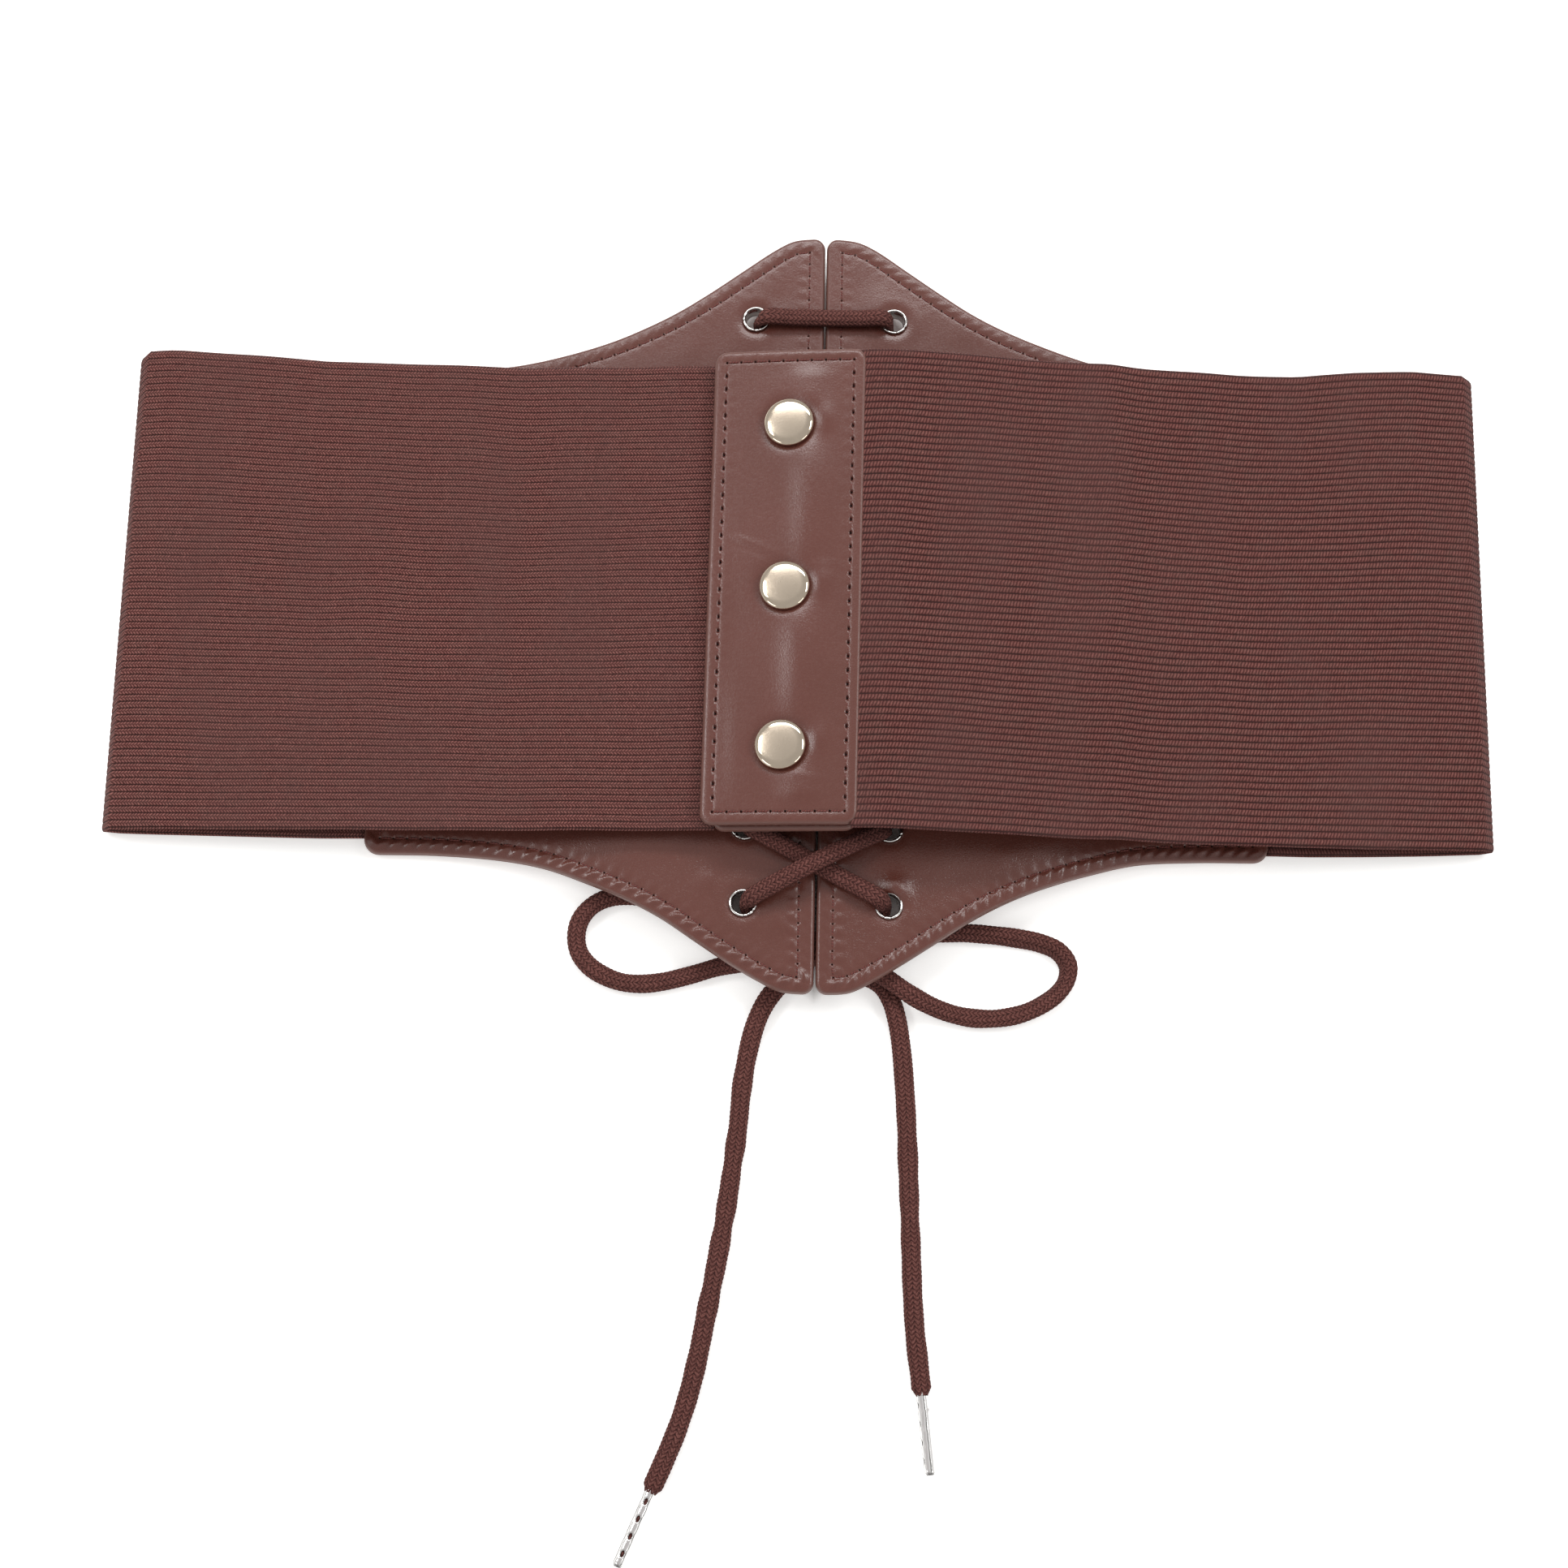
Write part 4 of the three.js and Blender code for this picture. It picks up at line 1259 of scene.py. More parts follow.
def panel_middle(x):
    """Height of a panel's middle at this distance from the gap."""
    half = PANEL["thickness"] / 2
    end = PANEL["gap"] / 2 + PANEL["width"]
    high, low = PANEL_LIFT["high"] + half, PANEL_LIFT["low"] + half
    start, easing = PANEL_LIFT["flat_to"], PANEL_LIFT["easing"]
    slope = bezier([(start, high), (start + easing, high), (end - easing, low), (end, low)], 60)
    return np.interp(np.abs(x), slope[:, 0], slope[:, 1])


# Where the lace pulls the leather up beside an eyelet: x, y, height and spread.
PULLS = (
    (-13.9, 74.9, 0.32, 0.9), (14.7, 74.9, 0.32, 0.9), (18.6, -70.2, 1.75, 3.1),
    (-9.0, -78.8, 0.65, 2.2), (-9.4, -75.0, 0.40, 1.8), (11.2, -57.2, 0.25, 1.5),
    (21.5, -76.5, 0.30, 1.8), (-6.8, -59.5, 0.25, 1.4), (-25.5, -69.0, 0.50, 2.0),
    (-22.0, -63.5, 0.35, 1.6), (44.0, -61.5, 0.30, 2.0),
)


def panel_face(places, outline, seam, centres, side):
    """How far the panel's upper face stands above its middle, and the masks of its leather."""
    depth = outline.nearest(places)[0]
    x, y = places.T
    eyelet = nearest_of(places, centres)
    strength = 0.10 + 0.44 * ease(-y, -10, 50)
    if side == "left":
        strength = np.maximum(strength, 0.14 * ease(y, 40, 60))
    cushion = 0.07 * np.sin(np.clip(depth / 3.7, 0, 1) * math.pi) + 0.05 * ease(depth, 3.7, 7.5)
    height = PANEL["thickness"] / 2 - rounded_edge(depth) + cushion - 0.14
    height += seam.relief(places, depth, strength)
    height += -0.35 * bell(eyelet, 2.6, 1.5) + 0.08 * bell(eyelet, 5.2, 1.4)
    height += (0.22 * waves(places, 38, 5) + 0.08 * waves(places, 13, 9)) * ease(depth, 4, 12)
    for pull_x, pull_y, rise, spread_out in PULLS:
        height += rise * bell(np.hypot(x - pull_x, y - pull_y), 0, spread_out)
    return height, {
        "rim": 1 - ease(depth, 0.1, 0.7),
        "hollow": seam.hole_depth(places),
        "crackle": ease(-y, 48, 62) * ease(depth, 4.5, 7) * (1.0 if side == "right" else 0.6),
    }


def make_panel(side):
    """A leather panel with its rows of holes and its seam."""
    outline = panel_outline(side)
    sign = -1 if side == "left" else 1
    centres = [np.array([sign * EYELET["from_gap"], y]) for y in eyelet_rows()]
    hole = EYELET["hole"] + EYELET["wall"] + 0.1
    seam = Seam(outline, sizes().panel_inset, sizes().panel_stitch, 0.17)
    rings = np.vstack([disc(c, r, n, turn=n) for c in centres
                       for r, n in ((3.5, 28), (4.2, 28), (5.1, 24), (6.2, 22), (7.6, 20))])
    rings = rings[outline.nearest(rings)[0] > 7.6]
    grid = grid_inside(outline, 2.0, 7.8)
    grid = grid[nearest_of(grid, centres) > 8.4]
    sew(
        f"panel_{side}", outline, seam, [disc(c, hole, 28)[::-1] for c in centres],
        rims=len(RIM_DEPTHS), inner=np.vstack([rings, grid]),
        middle=lambda points: panel_middle(points[:, 0]),
        face=lambda points, _: panel_face(points, outline, seam, centres, side),
        place=lambda points: points, hole_depth=0.6, sinks=(0.12, 0.20), alike=True,
    )


# ---------------------------------------------------------------- eyelets and snaps


def turned_rings(profile, angles):
    """Rings of a turned shape from its half section."""
    profile = np.asarray(profile, float)
    radius = profile[:, :1]
    return np.stack([
        radius * np.cos(angles), radius * np.sin(angles),
        np.repeat(profile[:, 1:], len(angles), axis=1),
    ], axis=2)


def turn_between(first, second):
    """The angle between two directions, the short way round."""
    return np.abs((first - second + math.pi) % math.tau - math.pi)


def eyelet_mesh(seed):
    """An eyelet, turned, with a rolled lip that has split in a few places."""
    draw = np.random.default_rng(seed)
    splits = np.sort(draw.uniform(0.9 * math.pi, 2.05 * math.pi, 4))
    angles = np.arange(EYELET_SIDES) / EYELET_SIDES * math.tau
    for split in splits:
        angles = angles[turn_between(angles, split) > 0.09]
    sides = [splits + turn for turn in (-0.05, -0.022, 0.022, 0.05)]
    angles = np.sort(np.concatenate([angles, *sides]) % math.tau)
    split_here = turn_between(angles[:, None], splits).min(axis=1) < 0.03
    hole = EYELET["hole"]
    top = PANEL_LIFT["high"] + PANEL["thickness"] - 0.05
    under = PANEL_LIFT["high"] - 0.15
    lip = arc((hole + 0.58, top + 0.22), 0.30, 210, -40, 12)
    profile = [
        (hole, under - 0.45), (hole + 0.25, under - 0.72), (hole + 0.7, under - 0.78),
        (FLANGE_RADIUS - 0.5, under - 0.62), (FLANGE_RADIUS, under - 0.4),
        (FLANGE_RADIUS - 0.05, under - 0.05), (FLANGE_RADIUS - 0.4, under),
        (hole + 0.35, under + 0.05), (hole + 0.35, top - 0.1), (RING_RADIUS - 0.25, top - 0.05),
        *map(tuple, lip[::-1]), (hole + 0.14, top - 0.35),
    ]
    rings = turned_rings(profile, angles)
    first_lip = profile.index(tuple(lip[-1]))
    for i in range(first_lip, first_lip + len(lip)):
        rings[i, split_here, 2] -= 0.16
        rings[i, split_here, :2] *= 1 - 0.05 * (i < first_lip + 5)
    shape = Shape()
    m = len(angles)
    shape.tube(rings, np.arange(m + 1) / m, np.arange(len(profile) + 1) / len(profile), True)
    return shape


def make_eyelets():
    """Nine eyelets on each panel."""
    for side, sign in (("left", -1), ("right", 1)):
        for row, y in enumerate(eyelet_rows()):
            shape = eyelet_mesh(17 * row + (3 if sign > 0 else 11))
            points = shape.points[0]
            shape.points[0] = points + (sign * EYELET["from_gap"], y, 0)
            name = f"eyelet_{side}_{row + 1}"
            masks = {"polish": np.ones(len(points))}
            settle(shape.piece(f"nickel_{name}", nickel(), masks=masks), "eyelet_metal", name)


def placket_place(points):
    """Turns points from the placket's own frame into the belt's."""
    lean = Matrix.Rotation(math.radians(-PLACKET["lean"]), 3, "Y")
    turn = Matrix.Rotation(math.radians(-PLACKET["turn"]), 3, "Z")
    turned = np.asarray(points) @ np.array(lean @ turn).T
    return turned + (PLACKET["x"], PLACKET["y"], PLACKET["z"])


def make_snaps():
    """Three snap fasteners: a domed cap above the placket and a flat back below it."""
    angles = np.arange(SNAP_SIDES) / SNAP_SIDES * math.tau
    cap_metal = made_once("satin_nickel", metal_finish, tuple(colours().cap), 0.20, 0.06)
    cap = SNAP["cap"]
    front = [
        (0.02, -2.4), (SNAP["post"], -2.4), (SNAP["post"], 0.0), (cap - 0.9, 0.02),
        (cap - 0.35, 0.10), (cap - 0.08, 0.34), (cap, 0.66), (cap - 0.06, 0.90),
        (cap - 0.20, 1.10), (cap - 0.42, 1.27), (cap - 0.70, 1.41), (cap - 1.0, 1.52),
        (cap - 1.3, 1.59), (cap - 2.0, 1.69), (cap - 3.0, 1.80), (cap - 4.0, 1.87),
        (cap - 5.0, 1.91), (0.02, 1.92),
    ]
    back = [
        (0.02, -5.45), (SNAP["flange"] - 0.3, -5.45), (SNAP["flange"], -5.25),
        (SNAP["flange"], -4.95), (SNAP["flange"] - 0.3, -4.75), (SNAP["post"], -4.7),
        (SNAP["post"], -3.9), (0.02, -3.9),
    ]
    for i, y in enumerate(SNAP_PLACES, 1):
        for name, section, metal in (
            ("snap_cap", front, cap_metal), ("snap_back", back, nickel())
        ):
            rings = turned_rings(section, angles) + (0, y, 0)
            shape = Shape()
            shape.tube(
                placket_place(rings.reshape(-1, 3)).reshape(rings.shape),
                np.arange(SNAP_SIDES + 1) / SNAP_SIDES, np.arange(len(section)),
            )
            radius = np.repeat(np.array(section)[:, 0], SNAP_SIDES)
            polish = ease(radius, cap - 1.5, cap - 1.1)
            masks = {"polish": polish if name == "snap_cap" else 0 * polish + 0.4}
            node = f"{name}_{i}"
            settle(shape.piece(f"nickel_{node}", metal, masks=masks), "snap_metal", node)


# ---------------------------------------------------------------- placket


def strip_outline(width, shift_x, shift_y):
    """The outline of a strip with rounded corners, at even steps."""
    x, y, r = width / 2, STRIP["height"] / 2, STRIP["corner"]
    line = np.vstack([
        arc((x - r, y - r), r, 0, 90, 12), arc((r - x, y - r), r, 90, 180, 12),
        arc((r - x, r - y), r, 180, 270, 12), arc((x - r, r - y), r, 270, 360, 12),
    ]) + (shift_x, shift_y)
    return Outline(even_steps(np.vstack([line, line[:1]]), 0.55)[:-1])


# Creases across the placket: height, place at x = 0, slope, breadth, and the middle and the reach
# of the stretch of x that they cover.
CREASES = (
    (0.16, 5.96, -0.42, 0.8, -10, 6), (-0.12, 4.66, -0.42, 0.7, -9, 6),
    (0.08, 3.2, 0.10, 0.6, 8, 5), (0.07, -46.5, -0.2, 0.7, 6, 6),
)


def beside_snaps(y, shift, reach):
    """1 at the height of a snap, falling off to 0 above it and below it."""
    return np.max([bell(y, place + shift, reach) for place in SNAP_PLACES], axis=0)


def strip_face(places, outline, seam, upper):
    """How far a strip's face stands above its middle, and the masks of its leather."""
    depth = outline.nearest(places)[0]
    x, y = places.T
    puff = 0.12 * np.sin(np.clip(depth / seam.inset, 0, 1) * math.pi) ** 0.8
    height = STRIP["thickness"] / 2 - rounded_edge(depth) + puff - 0.26
    height += 0.05 * ease(depth, 3.0, 8) + seam.relief(places, depth, 0.06)
    if upper:
        inner = ease(depth, 3.2, 8)
        dent = bell(nearest_of(places, [(0, place) for place in SNAP_PLACES]), 4.4, 2.2)
        ridge = bell(x, 4.6 + 0.8 * np.sin(y / 17), 4.4) * (1 - 0.5 * ease(y, 44, 52))
        ridge *= 0.76 * (1 - 0.85 * beside_snaps(y, 0, 8))
        bump = 0.42 * beside_snaps(y, 1.5, 3.6) * bell(x, 8.9, 2.0)
        height += (ridge + bump + 0.10 * waves(places, 22, 3)) * inner
        height -= 0.55 * dent + 0.0011 * x**2
        for rise, level, slope, breadth, centre, reach in CREASES:
            crease = bell(y, level + slope * x, breadth) * bell(x, centre, reach)
            height += rise * crease * inner
    return height, {
        "rim": 1 - ease(depth, 0.1, 0.9),
        "hollow": seam.hole_depth(places),
        "crackle": 0.5 * bell(x, 4.5, 3.5) * ease(depth, 4, 8),
    }


def make_strip(name, outline, middle, upper):
    """One leather strip of the placket with its seam."""
    seam = Seam(outline, sizes().placket_inset, sizes().placket_stitch, 0.23, 2.6)
    centres = [(0, y) for y in SNAP_PLACES]
    grid = grid_inside(outline, 0.95 if upper else 2.6, 5.3)
    sew(
        name, outline, seam, [disc(c, 2.05, 20)[::-1] for c in centres],
        rims=14, inner=grid[nearest_of(grid, centres) > 3.0], middle=lambda points: middle,
        face=lambda points, side: strip_face(points, outline, seam, upper and side > 0),
        place=placket_place, hole_depth=0.7, sinks=(0.0, 0.30), alike=False,
    )


def make_placket():
    """The placket: the strip on top and the one under it."""
    top = strip_outline(STRIP["width"] + 0.8, -0.2, 0)
    under = strip_outline(UNDER_STRIP["width"], UNDER_STRIP["shift_x"], UNDER_STRIP["shift_y"])
    half = STRIP["thickness"] / 2
    make_strip("placket_top", top, -half, True)
    make_strip("placket_under", under, UNDER_STRIP["top"] - half, False)


# ---------------------------------------------------------------- elastic


FLAT_POINTS = 16  # points of the elastic's middle under the fold
FOLD_POINTS = 24  # and round the fold


def left_line():
    """The middle of the elastic's left half, from the panel to the placket: x and z."""
    fold = LEFT_FOLD + BAND_LOW + BAND["fold"]
    return np.vstack([
        bezier([(-106.6, 1.5), (-110.5, 1.4), (-114, BAND_LOW), (-119, BAND_LOW)], FLAT_POINTS),
        arc((fold, BAND_LOW + BAND["fold"]), BAND["fold"], -90, -261, FOLD_POINTS),
        bezier([(-167.3, 4.2), (-161, 5.3), (-152, 6.6), (-140, 7.7)], 20)[1:],
        bezier([(-140, 7.7), (-115, 9.9), (-95, 10.3), (-72, 11.5)], 30)[1:],
        bezier([(-72, 11.5), (-54, 12.4), (-36, 12.8), (-24.0, 14.45)], 30)[1:],
    ])


def right_line():
    """The middle of its right half."""
    fold = RIGHT_FOLD - BAND_LOW - BAND["fold"]
    return np.vstack([
        bezier([(106.6, 1.5), (110.5, 1.4), (114, BAND_LOW), (119, BAND_LOW)], FLAT_POINTS),
        arc((fold, BAND_LOW + BAND["fold"]), BAND["fold"], -90, 81, FOLD_POINTS),
        bezier([(158.5, 4.2), (152, 5.5), (145, 7.0), (134, 8.2)], 20)[1:],
        bezier([(134, 8.2), (112, 10.6), (84, 12.4), (60, 15.8)], 30)[1:],
        bezier([(60, 15.8), (40, 18.6), (21, 23.7), (10.3, 22.2)], 30)[1:], [(7.6, 21.75)],
    ])


def band_steps(total, fold_start, fold_end):
    """Distances along the elastic, closer together round its fold."""
    flat = np.arange(0, total, 2.6)
    flat = flat[(flat < fold_start - 1) | (flat > fold_end + 1)]
    return np.sort(np.concatenate([flat, np.linspace(fold_start - 1, fold_end + 1, 14), [total]]))


def rib_section(rib_shape):
    """The elastic's section: places across it, in ribs, and heights from its middle."""
    count = sizes().ribs
    height = sizes().rib_height / MM
    phases = np.array([0, 0.13, 0.28, 0.5, 0.72, 0.87])
    rise = np.array([0, *rib_shape, *rib_shape[-2::-1]])
    outer = np.append((np.arange(count)[:, None] + phases).ravel(), count)
    outer_rise = np.append(np.tile(rise, count), 0)
    inner = np.append((np.arange(count)[:, None] + (0, 0.33, 0.67)).ravel(), count)
    inner_rise = np.append(np.tile((0, 0.8, 0.8), count), 0)
    groove = BAND["thickness"] / 2 - height
    ribs = np.concatenate([outer, [count + 0.30], inner[::-1], [-0.30]])
    heights = np.concatenate([
        groove + height * outer_rise, [0], -(groove + height * inner_rise)[::-1], [0],
    ])
    return ribs, heights


def make_band(side, line, rib_shape, finish):
    """One half of the elastic with its ribs."""
    ribs, heights = rib_section(rib_shape)
    along = steps_along(line)
    fold_end = along[FLAT_POINTS + FOLD_POINTS - 1]
    steps = band_steps(along[-1], along[FLAT_POINTS - 1], fold_end)
    middle = at_steps(line, steps)
    ways = blurred(np.gradient(middle, axis=0), 1)
    ways /= np.linalg.norm(ways, axis=1)[:, None]
    out = np.stack([-ways[:, 1], ways[:, 0]], axis=1) * (-1 if side == "right" else 1)
    on_top = ease(middle[:, 1], BAND_LOW, 2 * BAND["fold"])
    upper = BAND["middle"] + BAND["width"] / 2 + on_top * np.interp(
        middle[:, 0], BAND_EDGES[:, 0], BAND_EDGES[:, 1]
    )
    lower = BAND["middle"] - BAND["width"] / 2 + np.interp(
        middle[:, 0], BAND_EDGES[:, 0], BAND_EDGES[:, 2]
    )
    share = ribs / sizes().ribs
    y = lower[:, None] + (upper - lower)[:, None] * share
    grid = np.column_stack([np.repeat(middle[:, 0], len(ribs)) + 1000 * on_top.repeat(len(ribs)),
                            y.ravel()])
    sway = 0.30 * waves(grid, 55, 21).reshape(y.shape) + 0.14 * waves(grid, 22, 5).reshape(y.shape)
    sway *= np.sin(np.clip(share, 0, 1) * math.pi) ** 0.5
    lift = 0.45 * waves(grid * (1, 0.4), 34, 33).reshape(y.shape) * (on_top > 0.99)[:, None]
    lift += 0.7 * (bell(middle[:, 0], 69.5, 4.5) * (on_top > 0.99))[:, None]
    fade = ease(np.minimum(steps, steps[-1] - steps), 0, 12)[:, None]
    reach = heights[None, :] + lift * fade
    rings = np.stack([
        middle[:, :1] + reach * out[:, :1], y + sway, middle[:, 1:] + reach * out[:, 1:],
    ], axis=2)
    shape = Shape()
    shape.tube(rings, np.append(ribs, ribs[0]), steps)
    shape.corners = [tuple((v, u) for u, v in corner) for corner in shape.corners]
    name = f"elastic_{side}"
    piece = settle(shape.piece(f"knit_{name}", finish, "knit"), "elastic", name)


# ---------------------------------------------------------------- lace tips

TIP_HOLES = (3.2, 7.3, 11.4, 15.5)  # where a tip's holes are along it
TIP_HOLE = (0.5, 0.72)  # half sizes of a hole, around the tip and along it
TIP_START = 1.2  # how far the tip reaches over the lace
CORE_RADIUS = 0.86
CORE_SIDES = 12


def from_tip_holes(places, half_sizes):
    """How far the nearest hole's middle is from each place, in these half sizes."""
    offsets = [(places - (0, along)) / half_sizes for along in TIP_HOLES]
    return np.min([np.hypot(*offset.T) for offset in offsets], axis=0)


def make_aglet(name, tail, turn, slot):
    """A lace tip of sheet metal rolled into a tube, with a row of punched holes."""
    length, radius = AGLET_LENGTH, AGLET_RADIUS
    half = math.pi * radius - 0.12
    corners = [(-half, 0), (half, 0), (half, length), (-half, length), (-half, 0)]
    outline = Outline(even_steps(np.array(corners, float), 0.4)[:-1])
    holes = [disc((0, 0), 1, 14)[::-1] * TIP_HOLE + (0, place) for place in TIP_HOLES]
    rings = [disc((0, 0), 1, 18) * np.add(TIP_HOLE, apart) + (0, place)
             for place in TIP_HOLES for apart in (0.16, 0.36, 0.62)]
    grid = grid_inside(outline, 0.55, 0.45)
    grid = grid[from_tip_holes(grid, (1.35, 1.6)) > 1]
    places = spread(np.vstack([*rings, outline.inset(0.25), grid]), 0.1)
    loops = [outline.points, *holes]
    flat = np.vstack([*loops, places])
    width, along = flat.T
    near = from_tip_holes(flat, TIP_HOLE)
    dent = 0.10 * bell(near, 1.5, 0.4) - 0.16 * bell(near, 1.0, 0.4)
    wavy = -0.05 * np.cos((along - TIP_HOLES[0]) / 4.1 * math.tau)
    wavy *= 1 - ease(np.abs(width) / half, 0.25, 0.6)
    neck = -0.08 * bell(along, length - 1.5, 0.4)
    end_drop = 0.5 * ease(along, length - 1.0, length)
    over = dent + wavy + neck - end_drop + 0.06 * bell(along, 0, 0.5)

    before, end = (np.array([*p[:2], AGLET_RADIUS + 0.12]) for p in tail[-2:])
    way = (end - before) / np.linalg.norm(end - before)
    aside = np.array([-way[1], way[0], 0.0])
    start = end - way * TIP_START

    def across(reach, angle):
        """Places round the tip's middle line."""
        return (reach * np.cos(angle))[:, None] * aside + (reach * np.sin(angle))[:, None] * UP

    def roll(points):
        """Turns points of the flat sheet into those of the rolled tip."""
        width, along, rise = np.asarray(points).T
        angle = width / radius + turn + math.pi / 2
        return start + along[:, None] * way + across(radius + rise, angle)

    shape = Shape()
    add_slab(shape, loops, places, over, over - 0.2, (), roll)
    around = width / radius + turn
    # Painted shade round the punched holes; on the right tip also a painted dark slot, which is
    # not cut.
    shade = 0.7 * bell(near, 1.0, 0.22)
    if slot:
        shade += 0.9 * bell(around, -1.0, 0.22) * bell(along, 4.4, 0.4)
    masks = {"around": around - 0.4 * slot, "along": along, "shade": shade}
    masks = {mask: np.tile(values, 2) for mask, values in masks.items()}
    piece = shape.piece(f"nickel_{name}", tip_metal(), masks=masks)
    settle(piece, "eyelet_metal", name)
    inner = Shape()
    core = even_steps(np.array([start + way * 0.3, start + way * (length - 0.6)]), 1.5)
    angles = np.arange(CORE_SIDES) / CORE_SIDES * math.tau
    inner.tube(
        core[:, None] + across(CORE_RADIUS, angles), np.arange(CORE_SIDES + 1) / 2,
        steps_along(core) / 1.2,
    )
    settle(inner.piece(f"core_{name}", lace(), "braid"), "lace")
    return piece


# ---------------------------------------------------------------- stage


def make_camera():
    """The camera at the photograph's angle."""
    tilt = math.radians(CAMERA["from_upright"])
    forward = Vector((0, math.sin(tilt), -math.cos(tilt)))
    up = Vector((0, math.cos(tilt), math.sin(tilt)))
    right = Vector((1, 0, 0))
    cos, sin = math.cos(CAMERA["roll"]), math.sin(CAMERA["roll"])
    axes = Matrix((right * cos + up * sin, up * cos - right * sin, -forward)).transposed()
    place = (Vector(CAMERA["target"]) - forward * CAMERA["distance"]) * MM
    data = bpy.data.cameras.new("camera")
    data.lens = CAMERA["lens"]
    data.sensor_width = CAMERA["sensor"]
    data.clip_start = 0.01
    camera = bpy.data.objects.new("camera", data)
    camera.matrix_world = Matrix.Translation(place) @ axes.to_4x4()
    bpy.context.scene.collection.objects.link(camera)
    bpy.context.scene.camera = camera


def make_lamp(name, place, width, depth, power):
    """A soft lamp that shines at the middle of the table."""
    data = bpy.data.lights.new(name, "AREA")
    data.shape = "RECTANGLE"
    data.size = width
    data.size_y = depth
    data.energy = power
    lamp = bpy.data.objects.new(name, data)
    lamp.location = place
    lamp.rotation_euler = (-Vector(place)).to_track_quat("-Z", "Y").to_euler()
    bpy.context.scene.collection.objects.link(lamp)


TABLE_HALF = 8.0  # so large that its edges stay outside the picture from every side
TABLE_DROP = 0.0002
STUDIO_TONE = (1.0, 0.99, 0.975, 1)
STUDIO_LIGHT = 0.55
LAMPS = (  # place, width, depth and power
    ("back", (0.0, 0.93, 1.0), 1.25, 0.26, 8.6),
    ("left", (-0.87, 0.25, 0.93), 0.5, 0.28, 3.8),
    ("right", (0.87, 0.25, 0.93), 0.5, 0.28, 3.8),
    ("front_left", (-0.95, -0.72, 0.58), 0.6, 0.3, 1.7),
    ("front_right", (0.95, -0.75, 0.55), 0.5, 0.25, 1.4),
)


def make_stage():
    """The white table, the even light of the room and the lamps, in metres."""
    corners = [(-TABLE_HALF, -TABLE_HALF, 0), (TABLE_HALF, -TABLE_HALF, 0),
               (TABLE_HALF, TABLE_HALF, 0), (-TABLE_HALF, TABLE_HALF, 0)]
    mesh = bpy.data.meshes.new("table")
    mesh.from_pydata(corners, [], [(0, 1, 2, 3)])
    mesh.materials.append(table_finish("white_table"))
    table = bpy.data.objects.new("table", mesh)
    table.location.z = -TABLE_DROP
    bpy.context.scene.collection.objects.link(table)
    world = bpy.data.worlds.new("studio")
    world.use_nodes = True
    back = world.node_tree.nodes["Background"]
    back.inputs["Color"].default_value = STUDIO_TONE
    back.inputs["Strength"].default_value = STUDIO_LIGHT
    bpy.context.scene.world = world
    for lamp in LAMPS:
        make_lamp(*lamp)
    bpy.context.scene.view_settings.view_transform = "Standard"


# ---------------------------------------------------------------- operators


class BELT_OT_stage(bpy.types.Operator):
    """Add the table, the studio light and the camera"""

    bl_idname = "belt.stage"
    bl_label = "Table, light and camera"

    def execute(self, context):
        make_camera()
        make_stage()
        return {"FINISHED"}


class BELT_OT_bow(bpy.types.Operator):
    """Add the bow: its knot, loops, tails and metal tips"""

    bl_idname = "belt.bow"
    bl_label = "Bow"

    def execute(self, context):
        make_knot()
        make_loop("bow_loop_left", LOOP_LEFT, twist=0.0, swell=0.0, seed=4)
        make_loop("bow_loop_right", LOOP_RIGHT, twist=0.9, swell=0.22, seed=8)
        for name, tail, turn, seed in (
            ("left", TAIL_LEFT, 0.0, 12), ("right", TAIL_RIGHT, 1.4, 15)
        ):
            aglet = make_aglet(f"aglet_{name}", tail, turn, slot=name == "right")
            make_tail(f"tail_{name}", tail, aglet, seed)
        return {"FINISHED"}


class BELT_OT_lace(bpy.types.Operator):
    """Add the lace through the eyelets"""

    bl_idname = "belt.lace"
    bl_label = "Lace"

    def execute(self, context):
        make_woven_lace()
        return {"FINISHED"}


class BELT_OT_panels(bpy.types.Operator):
    """Add the two leather panels with their seams"""

    bl_idname = "belt.panels"
    bl_label = "Leather panels"

    def execute(self, context):
        for side in ("left", "right"):
            make_panel(side)
        return {"FINISHED"}


class BELT_OT_eyelets(bpy.types.Operator):
    """Add the eyelets"""

    bl_idname = "belt.eyelets"
    bl_label = "Eyelets"

    def execute(self, context):
        make_eyelets()
        return {"FINISHED"}


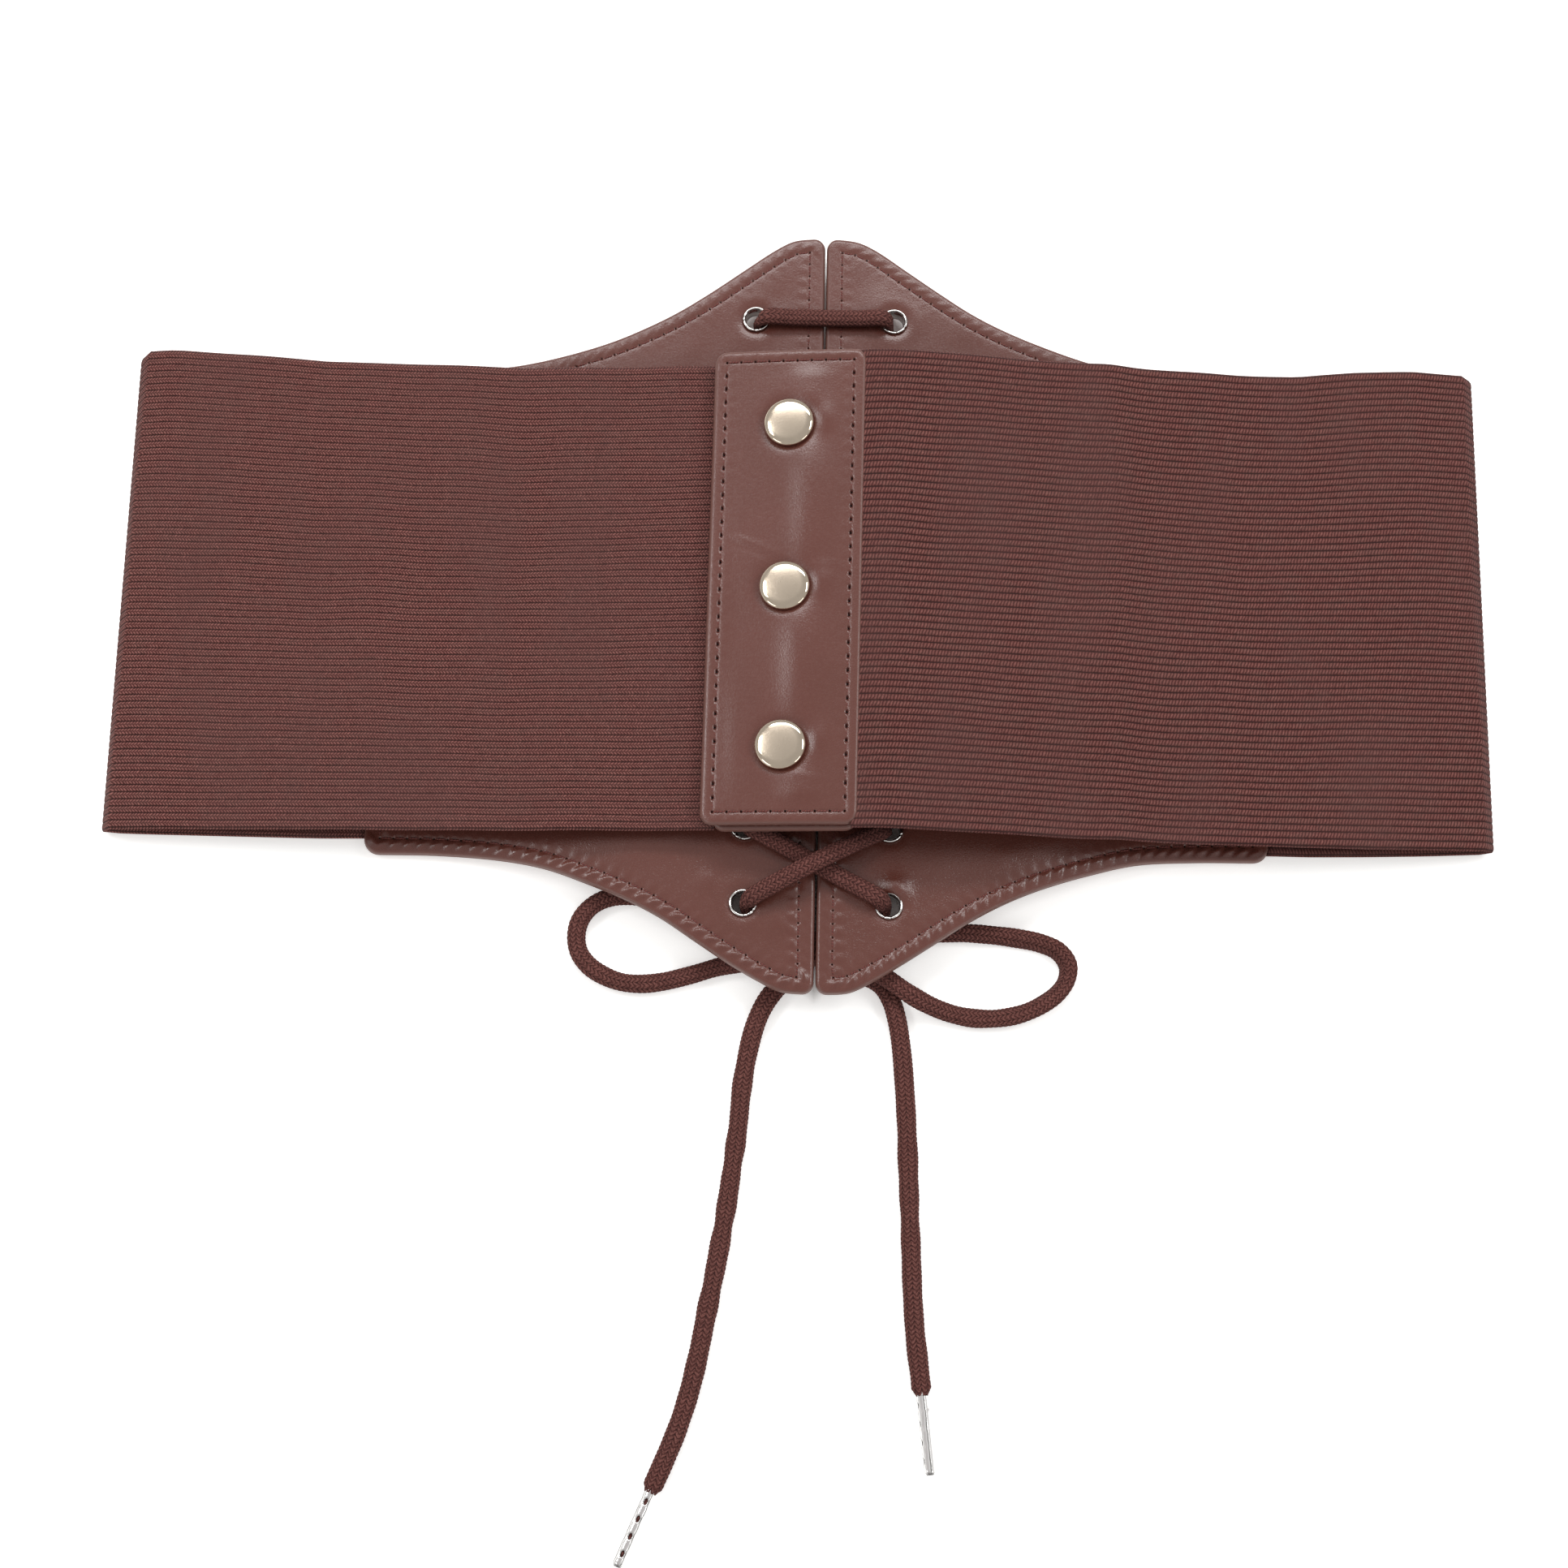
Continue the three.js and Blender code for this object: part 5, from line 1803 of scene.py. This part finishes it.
class BELT_OT_elastic(bpy.types.Operator):
    """Add the two halves of the ribbed elastic"""

    bl_idname = "belt.elastic"
    bl_label = "Elastic"

    def execute(self, context):
        fine = elastic_finish(
            "fine_knit", rows=2, slant=0.8, contrast=0.90, groove=0.27, depth=0.84
        )
        bold = elastic_finish(
            "bold_knit", rows=1, slant=0.7, contrast=0.60, groove=0.28, depth=0.82
        )
        make_band("left", left_line(), (0.45, 0.70, 0.8), fine)
        make_band("right", right_line(), (0.25, 0.45, 0.5), bold)
        return {"FINISHED"}


class BELT_OT_placket(bpy.types.Operator):
    """Add the placket: two leather strips with their seams"""

    bl_idname = "belt.placket"
    bl_label = "Placket"

    def execute(self, context):
        make_placket()
        return {"FINISHED"}


class BELT_OT_snaps(bpy.types.Operator):
    """Add the snap fasteners"""

    bl_idname = "belt.snaps"
    bl_label = "Snaps"

    def execute(self, context):
        make_snaps()
        return {"FINISHED"}


OPERATORS = (
    BELT_OT_stage, BELT_OT_bow, BELT_OT_lace, BELT_OT_panels, BELT_OT_eyelets, BELT_OT_elastic,
    BELT_OT_placket, BELT_OT_snaps,
)


class BELT_PT_panel(bpy.types.Panel):
    """The belt's pieces, sizes and colours"""

    bl_idname = "BELT_PT_panel"
    bl_label = "Waist belt"
    bl_space_type = "VIEW_3D"
    bl_region_type = "UI"
    bl_category = "Belt"

    def draw(self, context):
        for operator in OPERATORS:
            self.layout.operator(operator.bl_idname)
        for group in (context.scene.belt_sizes, context.scene.belt_colours):
            for name in group.__annotations__:
                self.layout.prop(group, name)


CLASSES = (BeltSizes, BeltColours, *OPERATORS, BELT_PT_panel)


def register():
    for each in CLASSES:
        bpy.utils.register_class(each)
    bpy.types.Scene.belt_sizes = PointerProperty(type=BeltSizes)
    bpy.types.Scene.belt_colours = PointerProperty(type=BeltColours)


def unregister():
    del bpy.types.Scene.belt_colours
    del bpy.types.Scene.belt_sizes
    for each in reversed(CLASSES):
        bpy.utils.unregister_class(each)


def main():
    register()
    for operator in OPERATORS:
        group, name = operator.bl_idname.split(".")
        getattr(getattr(bpy.ops, group), name)()


if __name__ == "__main__":
    main()
